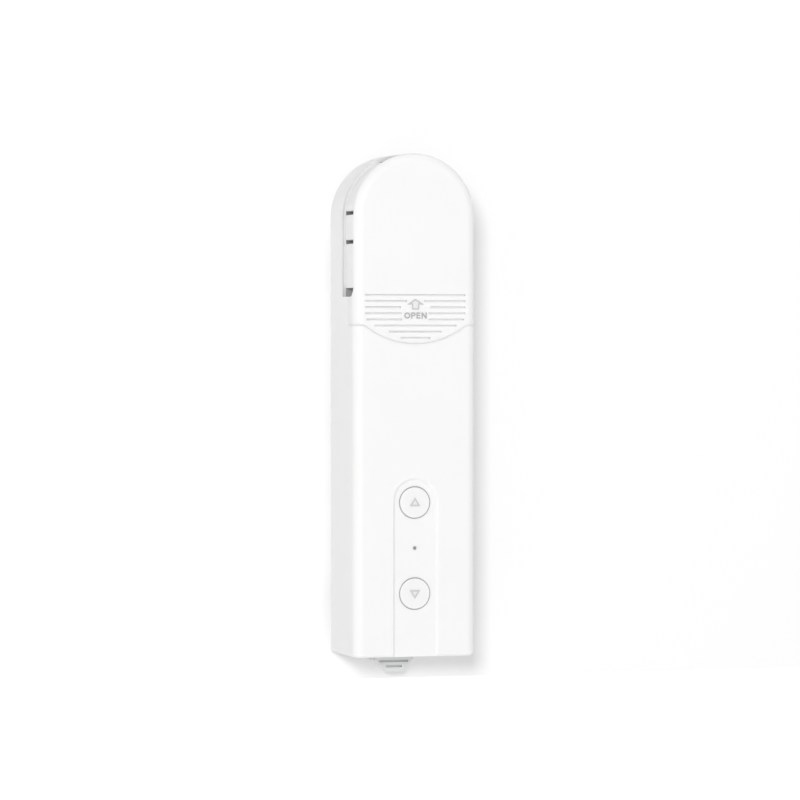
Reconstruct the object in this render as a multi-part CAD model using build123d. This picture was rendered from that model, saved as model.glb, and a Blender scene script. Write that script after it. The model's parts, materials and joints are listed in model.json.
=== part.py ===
"""Roller shade motor: a wall-mounted driver that pulls the bead chain of a roller blind.

Frame: +X to the right as seen from the front, the front face towards -Y, +Z up. The origin is on the
wall plane, at the middle of the two screw holes of the wall bracket, level with the housing's middle.
Shapes are described by x (across), d (depth behind the front face) and z (height above the bottom).
"""

import os
from math import acos, atan2, cos, hypot, pi, radians, sin, sqrt, tan

from build123d import *

# How far joined shapes run into each other, how far a cut runs past a face, and how near counts as on it
JOIN = 0.1
PAST = 1.0
NEAR = 0.01

# Housing, whose width and depth come from its cells and whose height comes from its drive, below
STANDOFF = 4.0
WALL = 1.6
CROWN = 31.1
FRONT_WALL = 1.8
EDGE_ROUND = 3.0
FOOT_BEVEL = 0.7
BACK_BEVEL = 0.8
UPPER_ROOM_INSET = 1.5
UPPER_ROOM_DROP = 2.0

# Chain cover: front panel, side cheeks and the seam round them
PANEL = 2.0
SEAM = 0.22
SEAM_DROP = 23.2
LOBE_DROP = 5.8
LOBE_RADIUS = 27.0
LOBE_BLEND = 3.0
CHEEK = 1.0
CHEEK_HIGH = 8.9
CHEEK_DEPTH = 7.0
CHEEK_BLEND = 2.8
COVER_GAP = 0.3
RAIL_WIDTH = 0.7
RAIL_THICK = 0.8
RAIL_DEPTH = 4.2

# Grip grooves of the cover: half width of each row, and of the gap left for the arrow and the word
GROOVE = 0.5
GROOVE_DEEP = 0.8
GROOVE_PITCH = 1.93
GROOVE_RISE = 9.4
GROOVE_ROWS = [(16.35, 0.0), (16.35, 2.85), (16.35, 4.9), (16.35, 4.4), (16.0, 4.4),
               (13.5, 0.0), (8.65, 0.0), (4.8, 0.0)]

# Recessed band round the dome, with its slots, its windows and the open crest that the chain runs through
BAND_DEEP = 1.0
BAND_REAR = 14.2
SLOT = 1.25
SLOT_RISES = [3.05, 12.2]
SLOT_INSET = 0.5
WINDOW = 2.8
WINDOW_REACH = 13.0
GUTTER = 0.7
GUTTER_DEEP = 1.0
CREST_HALF = 8.3
CREST_DROP = 9.0

# Chain wheel and its chamber
BALL = 4.5
BALL_PITCH = 6.0
POCKETS = 9
POCKET_FIT = 0.2
WHEEL_THICK = 9.4
RIM_OVER = 1.61
HUB_RADIUS = 3.6
RECESS_RADIUS = 5.9
RECESS_DEEP = 2.4
SPOKES = 4
SPOKE = 1.4
WHEEL_ROOM = 2.2
CHAMBER_WALL = 1.4
GUIDE_ROOM = 1.5
GUIDE_WALL = 2.2
GUIDE_FIT = 0.3
SHAFT_RADIUS = 2.0
SHAFT_FLAT = 0.4
RUN_FIT = 0.05
BUSH_RADIUS = 3.4
REAR_BUSH_RADIUS = 3.0
CAP_RADIUS = 3.6
CAP_THICK = 0.7
CAP_CLEAR = 0.4
BEARING_WALL = 1.8
SHAFT_END = 0.4
SPOKE_SET = 0.4

# Gear train
MODULE = 0.8
LAST_MODULE = 0.9
PINION_TEETH = 10
FIRST_TEETH = 27
SECOND_TEETH = 25
LAST_PINION_TEETH = 10
OUTPUT_TEETH = 26
PRESSURE_ANGLE = radians(20)
BACKLASH = 0.12
WHEEL_ADDENDUM = 0.6
PINION_ADDENDUM = 0.9
DEDENDUM = 1.0
FACE_WIDTH = 2.1
CURVED_FLANKS = 18
LAYER_GAP = 0.4
FIRST_SIDE = -3.5
SECOND_SIDE = 4.92
SECOND_HUB = 1.7
AXLE_RADIUS = 0.75
FRAME_THICK = 1.2
FRAME_HALF = 12.6
FRAME_GAP = 0.2
FRAME_SHAFT_HOLE = 2.5
FRAME_BUSH_HOLE = 4.2
OUTPUT_HUB = 3.8
AXLE_SET = 0.2

# Motor
MOTOR_OVER_CELLS = 6.8
MOTOR_RADIUS = 11.0
MOTOR_FRONT = 4.6
MOTOR_SHAFT = 1.0
MOTOR_EDGE = 0.8
END_CAP = 2.2
TERMINAL_SIDE = 5.0
TERMINAL_HALF = 1.0
TERMINAL_THICK = 0.4
TERMINAL_DROP = 2.5

# Cells and their cradle
CELL_RADIUS = 9.1
CELL_LENGTH = 65.0
CELL_BOTTOM = 4.2
CELL_GAP = 0.15
CELL_FIT = 0.05
CELL_CONTACT = 2.8
CONTACT_HIGH = 1.0
CRADLE_WALL = 1.5
CRADLE_FIT = 0.3

# Circuit board and what it carries
BOARD_THICK = 1.2
BOARD_HALF = 15.0
BOARD_BOTTOM = 2.4
BOARD_TOP = 66.0
BOARD_CORNER = 1.5
BOARD_REAR_ROOM = 0.6
SWITCH = 6.0
SWITCH_BODY = 2.5
SWITCH_STEM = 0.5
STEM_RADIUS = 1.5
POST_HALF = 1.4
POST_SIDE = 12.0
POST_INSETS = (6.0, 4.0)
RADIO_HALF = 7.0
RADIO_DEEP = 2.4
RADIO_LOW = 1.5
RADIO_TOP = 0.8
LED_HALF = 0.8
LED_HIGH = 0.5
PLUG_SIDE = 10.0
PLUG_HEIGHT = 27.0
PLUG_HALF = 3.5
PLUG_HIGH = 2.5
PLUG_DEEP = 3.2
PLUG_WALL = 0.7

# Button channel, buttons and status light
CHANNEL_HALF = 6.55
CHANNEL_FLARE = 0.85
CHANNEL_DEEP = 0.9
CHANNEL_CENTRE = 49.2
BUTTON_RADIUS = 4.85
BUTTON_FIT = 0.3
BUTTON_PROUD = 0.35
BUTTON_FLANGE = 5.8
BUTTON_TAB = 2.2
BUTTON_BAR = 0.8
BAR_GAP = 0.25
BUTTON_STROKE = 0.5
BUTTON_EDGE = 0.25
BUTTON_LEVELS = {"down": 19.9, "up": 48.7}
LIGHT_HEIGHT = 34.3
LIGHT_RADIUS = 0.5

# Charging port
PORT_WIDTH = 8.9
PORT_HIGH = 3.2
PORT_LENGTH = 7.3
PORT_INSET = 0.5
PORT_SHELL = 0.3
PORT_FIT = 0.3
PORT_END = 1.2
TONGUE_HALF = 3.35
TONGUE_THICK = 0.7
TONGUE_INSET = 1.0

# Back cover and its rails
COVER_PLATE = 1.6
RIM = 1.0
PLATE_FIT = 0.15
BOSS_HALF = 2.1
BOSS_WALL = 1.2
SCREW_RADIUS = 1.1
SCREW_FIT = 0.15
LOWER_SCREW_SIDE = 15.9
LOWER_SCREW_DROP = 12.8
UPPER_SCREW_SIDE = 12.2
UPPER_SCREW_DROP = 10.0
BEARING_GAP = 0.3
HOOK_THICK = 0.9
HOOK_LEG = 1.6
HOOK_INSET = 2.0

# Wall bracket
BRACKET_PLATE = 1.2
BRACKET_HALF = 16.8
BRACKET_BOTTOM = 8.0
BRACKET_DROP = 30.0
BRACKET_CORNER = 4.0
TEE_HALF = 13.7
TEE_THICK = 1.0
TEE_NECK = 10.7
TEE_BOTTOM = 20.0
TEE_DROP = 38.0
SLIDE_GAP = 0.3
SCREW_SPACING = 60.0
WALL_SCREW = 2.1
WALL_SCREW_HEAD = 4.2
FOOT_HALF = 9.0
FOOT_THICK = 2.1
FOOT_LAP = 5.0

# Release latch
LATCH_HALF = 6.0
LATCH_SHOULDER = (5.8, -3.2)
LATCH_TOE = (2.7, -6.7)
LATCH_CORNER = 1.3
LATCH_THICK = 1.8
LATCH_TOP = -1.0
LATCH_LEAD = 3.3
PIVOT_INSET = 1.5
PIVOT_DROP = 1.7
PIN_RADIUS = 0.8
TOOTH_HALF = 3.5
TOOTH_TOP = 1.4
EAR_IN = 4.5
EAR_OUT = 7.0
EAR_FRONT = 1.2
EAR_DROP = 0.6
FOOT_FRONT = 1.8
HUB_WALL = 0.55
ARM_DROP = 1.0
NOTCH_FIT = 0.6
GRIP_LEVELS = ((-3.3, 4.75), (-4.95, 2.65))
GRIP_HIGH = 0.65
GRIP_DEEP = 0.9

# Depths, worked out from front to back
BALL_ROOM = PANEL + COVER_GAP
WHEEL_FRONT = BALL_ROOM + CAP_THICK + CAP_CLEAR
SHAFT_FRONT = WHEEL_FRONT - CAP_CLEAR
CHAMBER_REAR = WHEEL_FRONT + WHEEL_THICK + WHEEL_ROOM
FRAME_FRONT = CHAMBER_REAR + CHAMBER_WALL + FRAME_GAP
FRAME_REAR = FRAME_FRONT + FRAME_THICK
LAYER_A = FRAME_REAR + LAYER_GAP
LAYER_B = LAYER_A + FACE_WIDTH + LAYER_GAP
LAYER_C = LAYER_B + FACE_WIDTH + LAYER_GAP
GEAR_REAR = LAYER_C + FACE_WIDTH
FRONT_BEARING = WHEEL_FRONT + WHEEL_THICK + BEARING_GAP
REAR_BEARING = GEAR_REAR + BEARING_GAP
FLANGE_FRONT = FRONT_WALL + BAR_GAP
FLANGE_REAR = FLANGE_FRONT + BUTTON_BAR
BOARD_FRONT = FLANGE_REAR + RUN_FIT + BUTTON_STROKE + SWITCH_STEM + SWITCH_BODY
CELL_FRONT = BOARD_FRONT + BOARD_THICK + BOARD_REAR_ROOM
CELL_DEPTH = CELL_FRONT + CELL_RADIUS
BACK_INNER = CELL_DEPTH + CELL_RADIUS + CRADLE_WALL
DEPTH = BACK_INNER + COVER_PLATE
PIVOT_DEPTH = DEPTH - PIVOT_INSET
LATCH_FRONT = PIVOT_DEPTH - LATCH_LEAD

# Heights, worked out from the cells up through the gear train to the wheel
FIRST_REACH = MODULE * (PINION_TEETH + FIRST_TEETH) / 2
SECOND_REACH = MODULE * (PINION_TEETH + SECOND_TEETH) / 2
LAST_REACH = LAST_MODULE * (LAST_PINION_TEETH + OUTPUT_TEETH) / 2
CRADLE_TOP = CELL_BOTTOM + CELL_LENGTH + CRADLE_FIT + CRADLE_WALL
MOTOR_HEIGHT = CELL_BOTTOM + CELL_LENGTH + MOTOR_OVER_CELLS + MOTOR_RADIUS
FIRST_HEIGHT = MOTOR_HEIGHT + sqrt(FIRST_REACH ** 2 - FIRST_SIDE ** 2)
SECOND_HEIGHT = FIRST_HEIGHT + sqrt(SECOND_REACH ** 2 - (SECOND_SIDE - FIRST_SIDE) ** 2)
WHEEL_HEIGHT = SECOND_HEIGHT + sqrt(LAST_REACH ** 2 - SECOND_SIDE ** 2)
FIRST_AXLE = (FIRST_SIDE, FIRST_HEIGHT)
SECOND_AXLE = (SECOND_SIDE, SECOND_HEIGHT)
HEIGHT = WHEEL_HEIGHT + CROWN
SEAM_HEIGHT = WHEEL_HEIGHT - SEAM_DROP
CHEEK_TOP = SEAM_HEIGHT + CHEEK_HIGH
LOWER_SCREWS = (LOWER_SCREW_SIDE, MOTOR_HEIGHT - LOWER_SCREW_DROP)
UPPER_SCREWS = (UPPER_SCREW_SIDE, HEIGHT - UPPER_SCREW_DROP)
BRACKET_TOP = HEIGHT - BRACKET_DROP
TEE_TOP = HEIGHT - TEE_DROP

# Sideways sizes and radii
INNER = CELL_GAP + 2 * CELL_RADIUS + CELL_FIT
HALF = INNER + WALL
WIDTH = 2 * HALF
DOME_CENTRE = HEIGHT - HALF
BAND_RADIUS = HALF - BAND_DEEP
CELL_SIDE = CELL_GAP + CELL_RADIUS
PITCH_RADIUS = BALL_PITCH / (2 * sin(pi / POCKETS))
WHEEL_RIM = PITCH_RADIUS + RIM_OVER
GUIDE_INNER = WHEEL_RIM + GUIDE_ROOM
GUIDE_OUTER = GUIDE_INNER + GUIDE_WALL
CHAMBER_RADIUS = GUIDE_OUTER + GUIDE_FIT
FRONT = -(DEPTH + STANDOFF)
BOTTOM = -HEIGHT / 2


def slab(x0, x1, d0, d1, z0, z1):
    """Box between two corners given by x, depth and height."""
    centre = ((x0 + x1) / 2, FRONT + (d0 + d1) / 2, BOTTOM + (z0 + z1) / 2)
    return Pos(*centre) * Box(x1 - x0, d1 - d0, z1 - z0)


def front_plane(d):
    """Sketch plane seen from the front, at depth d: local x across, local y up from the bottom."""
    return Plane(origin=(0, FRONT + d, BOTTOM), x_dir=(1, 0, 0), z_dir=(0, -1, 0))


def prism(sketch, d0, d1):
    """A front-view outline, solid from depth d0 to depth d1."""
    return extrude(front_plane(d1) * sketch, amount=d1 - d0)


def side_prism(sketch, x0, x1):
    """A side-view outline of local (depth, height), solid from x0 to x1."""
    plane = Plane(origin=(x0, FRONT, BOTTOM), x_dir=(0, 1, 0), z_dir=(1, 0, 0))
    return extrude(plane * sketch, amount=x1 - x0)


def rod(x, z, radius, d0, d1):
    """A round bar along the depth."""
    return prism(Pos(x, z) * Circle(radius), d0, d1)


def cone(x, z, radius0, radius1, d0, d1):
    """A round bar along the depth that changes radius."""
    middle = (x, FRONT + (d0 + d1) / 2, BOTTOM + z)
    return Pos(*middle) * Rot(90, 0, 0) * Cone(radius1, radius0, d1 - d0)


def upright(x, d, radius, z0, z1):
    """A round bar along the height."""
    return Pos(x, FRONT + d, BOTTOM + (z0 + z1) / 2) * Cylinder(radius, z1 - z0)


def cross_bar(d, z, radius, x0, x1):
    """A round bar across the width."""
    return Pos((x0 + x1) / 2, FRONT + d, BOTTOM + z) * Rot(0, 90, 0) * Cylinder(radius, x1 - x0)


def arch(half, low, centre):
    """Outline with straight sides and a round top."""
    outline = [
        Line((-half, low), (half, low)),
        Line((half, low), (half, centre)),
        ThreePointArc((half, centre), (0, centre + half), (-half, centre)),
        Line((-half, centre), (-half, low)),
    ]
    return make_face(outline)


def mirrored(shape):
    """The shape and its mirror image on the other side."""
    return [shape, mirror(shape, about=Plane.YZ)]


def save(shape, node):
    """Write one node as a STEP file."""
    solids = shape.solids()
    if len(solids) != 1:
        print(node, "has", len(solids), "solids")
    export_step(solids[0] if len(solids) == 1 else shape, f"parts/{node}.step")


# Outer form

def outer_form():
    """The whole capsule outline with its rounded edges, before it is split into pieces."""
    form = prism(arch(HALF, 0, DOME_CENTRE), 0, DEPTH)
    rims = form.edges().filter_by(lambda e: abs(e.center().Y - FRONT) < NEAR and e.center().Z > BOTTOM + NEAR)
    form = fillet(rims, EDGE_ROUND)
    backs = form.edges().filter_by(lambda e: abs(e.center().Y - FRONT - DEPTH) < NEAR)
    form = chamfer(backs, BACK_BEVEL)
    feet = form.edges().filter_by(
        lambda e: e.center().Z < BOTTOM + NEAR and e.center().Y < FRONT + EDGE_ROUND - NEAR)
    return chamfer(feet, FOOT_BEVEL)


def above_seam(gap):
    """Front-view area above the cover's lower edge, lowered by a gap."""
    flat = SEAM_HEIGHT - gap
    area = Pos(0, flat + HEIGHT / 2) * Rectangle(2 * WIDTH, HEIGHT)
    area += Pos(0, SEAM_HEIGHT - LOBE_DROP + LOBE_RADIUS) * Circle(LOBE_RADIUS + gap)
    corners = area.vertices().filter_by(lambda v: abs(v.Y - flat) < NEAR and abs(v.X) < HALF)
    return fillet(corners, LOBE_BLEND - gap)


def cheek_outline(gap):
    """Side view of a cheek, widened by a gap, with the blend that joins it to the panel."""
    top = CHEEK_TOP
    low = SEAM_HEIGHT - gap
    rear = CHEEK_DEPTH + gap
    corner = PANEL + CHEEK_BLEND
    middle = CHEEK_BLEND * (1 - sqrt(0.5))
    outline = [
        Line((-PAST, low), (rear, low)),
        Line((rear, low), (rear, top)),
        Line((rear, top), (corner, top)),
        ThreePointArc((corner, top), (PANEL + middle, top + middle), (PANEL, top + CHEEK_BLEND)),
        Line((PANEL, top + CHEEK_BLEND), (-PAST, top + CHEEK_BLEND)),
        Line((-PAST, top + CHEEK_BLEND), (-PAST, low)),
    ]
    return make_face(outline)


# Chain cover

def grooves():
    """Grip grooves cut in the lower part of the cover."""
    cuts = []
    for row, (half, gap) in enumerate(GROOVE_ROWS):
        z = SEAM_HEIGHT + GROOVE_RISE - row * GROOVE_PITCH
        spans = [(-half, half)] if gap == 0 else [(-half, -gap), (gap, half)]
        for x0, x1 in spans:
            cuts.append(slab(x0, x1, -PAST, GROOVE_DEEP, z - GROOVE / 2, z + GROOVE / 2))
    return cuts


def chain_cover(form):
    """Front panel with a dome top, its cheeks, and the rails that run in the housing's sides."""
    shape = prism(above_seam(0), -PAST, PANEL)
    for side in mirrored(side_prism(cheek_outline(0), HALF - CHEEK, HALF + PAST)):
        shape += side
    shape &= form
    rail_low = SEAM_HEIGHT + SEAM
    rail = slab(HALF - CHEEK - RAIL_WIDTH, HALF - CHEEK / 2, RAIL_DEPTH, RAIL_DEPTH + RAIL_THICK,
                rail_low, CHEEK_TOP - SEAM)
    for side in mirrored(rail):
        shape += side
    for cut in grooves():
        shape -= cut
    return shape


# Main housing

def chamber_outline(radius):
    """Stadium outline round the chain wheel that runs up into the dome."""
    spread = DOME_CENTRE - WHEEL_HEIGHT
    outline = [
        Line((radius, WHEEL_HEIGHT), (radius, WHEEL_HEIGHT + spread)),
        ThreePointArc((radius, DOME_CENTRE), (0, DOME_CENTRE + radius), (-radius, DOME_CENTRE)),
        Line((-radius, DOME_CENTRE), (-radius, WHEEL_HEIGHT)),
        ThreePointArc((-radius, WHEEL_HEIGHT), (0, WHEEL_HEIGHT - radius), (radius, WHEEL_HEIGHT)),
    ]
    return make_face(outline)


def cover_pocket():
    """Room in the housing for the cover's panel, cheeks and rails."""
    pocket = prism(above_seam(SEAM), -PAST, BALL_ROOM)
    cheek = side_prism(cheek_outline(SEAM), HALF - CHEEK - COVER_GAP, HALF + PAST)
    rail = slab(HALF - CHEEK - RAIL_WIDTH - COVER_GAP, HALF + PAST, RAIL_DEPTH - COVER_GAP,
                RAIL_DEPTH + RAIL_THICK + COVER_GAP, SEAM_HEIGHT, HEIGHT + PAST)
    for side in mirrored(cheek) + mirrored(rail):
        pocket += side
    return pocket


def band_recess():
    """The recessed band round the dome that the cheeks slide along."""
    ring = prism(arch(HALF + PAST, CHEEK_TOP, DOME_CENTRE), PANEL, BAND_REAR)
    return ring - prism(arch(BAND_RADIUS, CHEEK_TOP - PAST, DOME_CENTRE), PANEL - PAST, BAND_REAR + PAST)


def band_slots():
    """Two slots and a window on each side of the band, which open into the wheel's chamber."""
    cuts = []
    for rise in SLOT_RISES:
        low = WHEEL_HEIGHT + rise - SLOT / 2
        cuts.append(slab(CHAMBER_RADIUS - PAST, HALF, WHEEL_FRONT, BAND_REAR - SLOT_INSET, low, low + SLOT))
    window_in = BAND_RADIUS - WINDOW_REACH
    cuts.append(slab(window_in, HALF, WHEEL_FRONT, BAND_REAR, CHEEK_TOP, CHEEK_TOP + WINDOW))
    cuts.append(slab(BAND_RADIUS, BAND_RADIUS + GUTTER, BAND_REAR - PAST, BAND_REAR + GUTTER_DEEP, CHEEK_TOP,
                     DOME_CENTRE))
    return [side for cut in cuts for side in mirrored(cut)]


def open_crest():
    """Opening at the top of the band that both runs of the chain pass through."""
    return slab(-CREST_HALF, CREST_HALF, PANEL - PAST, BAND_REAR, HEIGHT - CREST_DROP, HEIGHT + PAST)


def cavities():
    """Rooms for the cells, the motor and the gears."""
    step = SEAM_HEIGHT - LOBE_DROP - SEAM - FRONT_WALL
    behind_cover = BALL_ROOM + FRONT_WALL
    main = slab(-INNER, INNER, FRONT_WALL, BACK_INNER, FRONT_WALL, step)
    half = INNER - UPPER_ROOM_INSET
    upper = slab(-half, half, behind_cover, BACK_INNER, step - JOIN, SEAM_HEIGHT - UPPER_ROOM_DROP)
    gears = prism(arch(INNER, step - JOIN, DOME_CENTRE), CHAMBER_REAR + CHAMBER_WALL, BACK_INNER)
    rebate = prism(arch(HALF - RIM, RIM, DOME_CENTRE), BACK_INNER, DEPTH + PAST)
    return [main, upper, gears, rebate]


def button_channel():
    """The shallow channel that holds the buttons, with flared walls and an open lower end."""
    floor = front_plane(CHANNEL_DEEP) * arch(CHANNEL_HALF, -PAST, CHANNEL_CENTRE)
    mouth = front_plane(0) * arch(CHANNEL_HALF + CHANNEL_FLARE, -PAST, CHANNEL_CENTRE)
    outside = prism(arch(CHANNEL_HALF + CHANNEL_FLARE, -PAST, CHANNEL_CENTRE), -PAST, 0)
    return loft([floor, mouth], ruled=True) + outside


def front_holes():
    """Holes in the channel floor for the buttons and the status light."""
    hole = BUTTON_RADIUS + BUTTON_FIT
    holes = [rod(0, z, hole, -PAST, FRONT_WALL + PAST) for z in BUTTON_LEVELS.values()]
    return holes + [rod(0, LIGHT_HEIGHT, LIGHT_RADIUS + RUN_FIT, -PAST, FRONT_WALL + PAST)]


def port_outline(grow):
    """Front-on outline of the charging port, seen from below."""
    high = PORT_HIGH + 2 * grow
    return RectangleRounded(PORT_WIDTH + 2 * grow, high, high / 2 - NEAR)


def port_prism(grow, z0, z1):
    """The charging port's outline along the height."""
    middle = BOARD_FRONT - PORT_HIGH / 2
    plane = Plane(origin=(0, FRONT + middle, BOTTOM + z0), x_dir=(1, 0, 0), z_dir=(0, 0, 1))
    return extrude(plane * port_outline(grow), amount=z1 - z0)


def latch_notch():
    """Hole in the bottom wall for the tooth of the release latch."""
    half = TOOTH_HALF + NOTCH_FIT
    front = LATCH_FRONT - NOTCH_FIT
    return slab(-half, half, front, LATCH_FRONT + LATCH_THICK + NOTCH_FIT, -PAST, FRONT_WALL + JOIN)


def board_posts():
    """Posts on the front wall that carry the circuit board."""
    low, high = POST_INSETS
    levels = (BOARD_BOTTOM + low, BOARD_TOP - high)
    spots = [(x, z) for x in (-POST_SIDE, POST_SIDE) for z in levels]
    return [slab(x - POST_HALF, x + POST_HALF, FRONT_WALL - JOIN, BOARD_FRONT, z - POST_HALF, z + POST_HALF)
            for x, z in spots]


def screw_bosses(shape):
    """Square bosses that the screws of the back cover cut their threads in."""
    depths = {LOWER_SCREWS: FRONT_WALL - JOIN, UPPER_SCREWS: CHAMBER_REAR}
    for (x, z), start in depths.items():
        for side in (-x, x):
            shape += slab(side - BOSS_HALF, side + BOSS_HALF, start, BACK_INNER,
                          z - BOSS_HALF, z + BOSS_HALF)
    return shape


def main_housing(form):
    """One-piece front shell with the chain chamber, the band, the channel and the inner posts."""
    shape = form - cover_pocket() - band_recess()
    for room in cavities():
        shape -= room
    shape -= prism(chamber_outline(CHAMBER_RADIUS), PANEL - PAST, CHAMBER_REAR)
    for cut in band_slots() + [open_crest()] + front_holes():
        shape -= cut
    shape -= button_channel()
    shape -= port_prism(PORT_FIT, -PAST, FRONT_WALL + JOIN)
    shape -= latch_notch()
    for post in board_posts():
        shape += post
    shape = screw_bosses(shape)
    shape += rod(0, WHEEL_HEIGHT, BUSH_RADIUS + BEARING_WALL, FRONT_BEARING, CHAMBER_REAR + JOIN)
    return shape - rod(0, WHEEL_HEIGHT, BUSH_RADIUS, FRONT_BEARING - PAST, FRAME_FRONT)


# Back cover

def hook_rails():
    """The two rails of the back cover that grip the bracket's tee."""
    low = TEE_BOTTOM + HOOK_INSET
    high = TEE_TOP - HOOK_INSET
    leg_in = TEE_HALF + SLIDE_GAP
    leg_out = leg_in + HOOK_LEG
    lip_front = DEPTH + SLIDE_GAP + TEE_THICK + SLIDE_GAP
    lip_rear = lip_front + HOOK_THICK
    rail = slab(leg_in, leg_out, DEPTH - JOIN, lip_rear, low, high)
    rail += slab(TEE_NECK + SLIDE_GAP, leg_out, lip_front, lip_rear, low, high)
    return mirrored(rail)


def back_cover():
    """Plate that closes the rear, with rails, screw holes and bearing bosses."""
    fit = RIM + PLATE_FIT
    shape = prism(arch(HALF - fit, fit, DOME_CENTRE), BACK_INNER, DEPTH)
    for rail in hook_rails():
        shape += rail
    shape += rod(0, WHEEL_HEIGHT, BUSH_RADIUS + BEARING_WALL, REAR_BEARING, BACK_INNER + JOIN)
    half = AXLE_RADIUS + BOSS_WALL
    for x, z in (FIRST_AXLE, SECOND_AXLE):
        shape += slab(x - half, x + half, REAR_BEARING, BACK_INNER + JOIN, z - half, z + half)
        shape -= rod(x, z, AXLE_RADIUS, GEAR_REAR, BACK_INNER + JOIN)
    shape -= rod(0, WHEEL_HEIGHT, REAR_BUSH_RADIUS, GEAR_REAR, BACK_INNER + JOIN)
    for x, z in (LOWER_SCREWS, UPPER_SCREWS):
        for side in (-x, x):
            shape -= rod(side, z, SCREW_RADIUS + SCREW_FIT, BACK_INNER - PAST, DEPTH + PAST)
    return shape


# Gear train

def tooth_angle(teeth, module, radius):
    """Half angle of an involute tooth at a radius."""
    pitch = module * teeth / 2
    base = pitch * cos(PRESSURE_ANGLE)
    pressure = acos(min(base / radius, 1))
    at_pitch = (pi * module / 2 - BACKLASH) / (2 * pitch)
    return at_pitch + tan(PRESSURE_ANGLE) - PRESSURE_ANGLE - tan(pressure) + pressure


def gear_outline(teeth, module, addendum, phase):
    """Outline of a spur gear with involute flanks, which are nearly straight where it has many teeth."""
    pitch = module * teeth / 2
    tip = pitch + addendum * module
    root = pitch - DEDENDUM * module
    start = max(root, pitch * cos(PRESSURE_ANGLE))

    def spot(radius, angle):
        return radius * cos(angle), radius * sin(angle)

    if teeth < CURVED_FLANKS:
        halves = [(radius, tooth_angle(teeth, module, radius)) for radius in (start, (start + tip) / 2, tip)]
    else:
        halves = [(root, tooth_angle(teeth, module, start)), (tip, tooth_angle(teeth, module, tip))]
    points = []
    for number in range(teeth):
        centre = phase + number * 2 * pi / teeth
        after = centre + 2 * pi / teeth
        points += [spot(radius, centre - half) for radius, half in halves]
        points += [spot(radius, centre + half) for radius, half in reversed(halves)]
        if halves[0][0] > root:
            low = halves[0][1]
            points += [spot(root, centre + low), spot(root, after - low)]
    return make_face(Polyline(*points, close=True))


def matching_phase(teeth_a, phase_a, teeth_b, direction):
    """Phase of gear b so that its tooth falls in a gap of gear a along the line between them."""
    part = ((direction - phase_a) / (2 * pi / teeth_a)) % 1
    return direction + pi - (0.5 - part) * 2 * pi / teeth_b


def direction_between(start, end):
    """Angle of the line from one axle to the next, in the front view."""
    return atan2(end[1] - start[1], end[0] - start[0])


def gear(place, teeth, module, addendum, phase, layer, lead=0.0):
    """One toothed disc, or a pinion that also spans the gap in front of its layer."""
    outline = Pos(*place) * gear_outline(teeth, module, addendum, phase)
    return prism(outline, layer - lead, layer + FACE_WIDTH)


def gear_phases():
    """Phases of the three meshing pairs, worked out from the output gear down to the motor."""
    motor = (0, MOTOR_HEIGHT)
    wheel = (0, WHEEL_HEIGHT)
    last_pinion = matching_phase(OUTPUT_TEETH, 0, LAST_PINION_TEETH, direction_between(wheel, SECOND_AXLE))
    between = direction_between(SECOND_AXLE, FIRST_AXLE)
    first_pinion = matching_phase(SECOND_TEETH, 0, PINION_TEETH, between)
    motor_pinion = matching_phase(FIRST_TEETH, 0, PINION_TEETH, direction_between(FIRST_AXLE, motor))
    return last_pinion, first_pinion, motor_pinion


def output_gear():
    """Gear on the wheel shaft, with a hub."""
    place = (0, WHEEL_HEIGHT)
    shape = gear(place, OUTPUT_TEETH, LAST_MODULE, WHEEL_ADDENDUM, 0, LAYER_C)
    shape += rod(*place, OUTPUT_HUB, LAYER_B, LAYER_C + JOIN)
    return shape - shaft_bar(LAYER_B - PAST, GEAR_REAR + PAST)


def second_gear():
    """Compound gear: the wide gear in the middle layer, its pinion in the rear layer."""
    place = SECOND_AXLE
    shape = gear(place, SECOND_TEETH, MODULE, WHEEL_ADDENDUM, 0, LAYER_B)
    pinion = gear(place, LAST_PINION_TEETH, LAST_MODULE, PINION_ADDENDUM, gear_phases()[0], LAYER_C,
                  LAYER_GAP)
    shape += pinion + rod(*place, SECOND_HUB, LAYER_A, LAYER_B)
    return shape - rod(*place, AXLE_RADIUS + RUN_FIT, LAYER_A - PAST, GEAR_REAR + PAST)


def first_gear():
    """Compound gear: the wide gear in the front layer, its long pinion in the middle layer."""
    place = FIRST_AXLE
    shape = gear(place, FIRST_TEETH, MODULE, WHEEL_ADDENDUM, 0, LAYER_A)
    shape += gear(place, PINION_TEETH, MODULE, PINION_ADDENDUM, gear_phases()[1], LAYER_B, LAYER_GAP)
    return shape - rod(*place, AXLE_RADIUS + RUN_FIT, LAYER_A - PAST, GEAR_REAR + PAST)


def motor_pinion():
    """Pinion cut on the motor's shaft."""
    place = (0, MOTOR_HEIGHT)
    shape = gear(place, PINION_TEETH, MODULE, PINION_ADDENDUM, gear_phases()[2], LAYER_A)
    return shape + rod(*place, MOTOR_SHAFT, MOTOR_FRONT + END_CAP, LAYER_B)


def axle(place):
    """Steel pin that a compound gear turns on."""
    return rod(*place, AXLE_RADIUS, FRAME_FRONT + AXLE_SET, BACK_INNER)


def gear_frame():
    """Plate that carries the motor and the axle pins, narrow enough to pass between the screw bosses."""
    low = MOTOR_HEIGHT - MOTOR_RADIUS - FRAME_THICK
    shape = prism(arch(FRAME_HALF, low, WHEEL_HEIGHT), FRAME_FRONT, FRAME_REAR)
    shape -= rod(0, MOTOR_HEIGHT, FRAME_SHAFT_HOLE, FRAME_FRONT - PAST, FRAME_REAR + PAST)
    shape -= rod(0, WHEEL_HEIGHT, FRAME_BUSH_HOLE, FRAME_FRONT - PAST, FRAME_REAR + PAST)
    for place in (FIRST_AXLE, SECOND_AXLE):
        shape -= rod(*place, AXLE_RADIUS, FRAME_FRONT - PAST, FRAME_REAR + PAST)
    return shape


# Chain wheel

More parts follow.
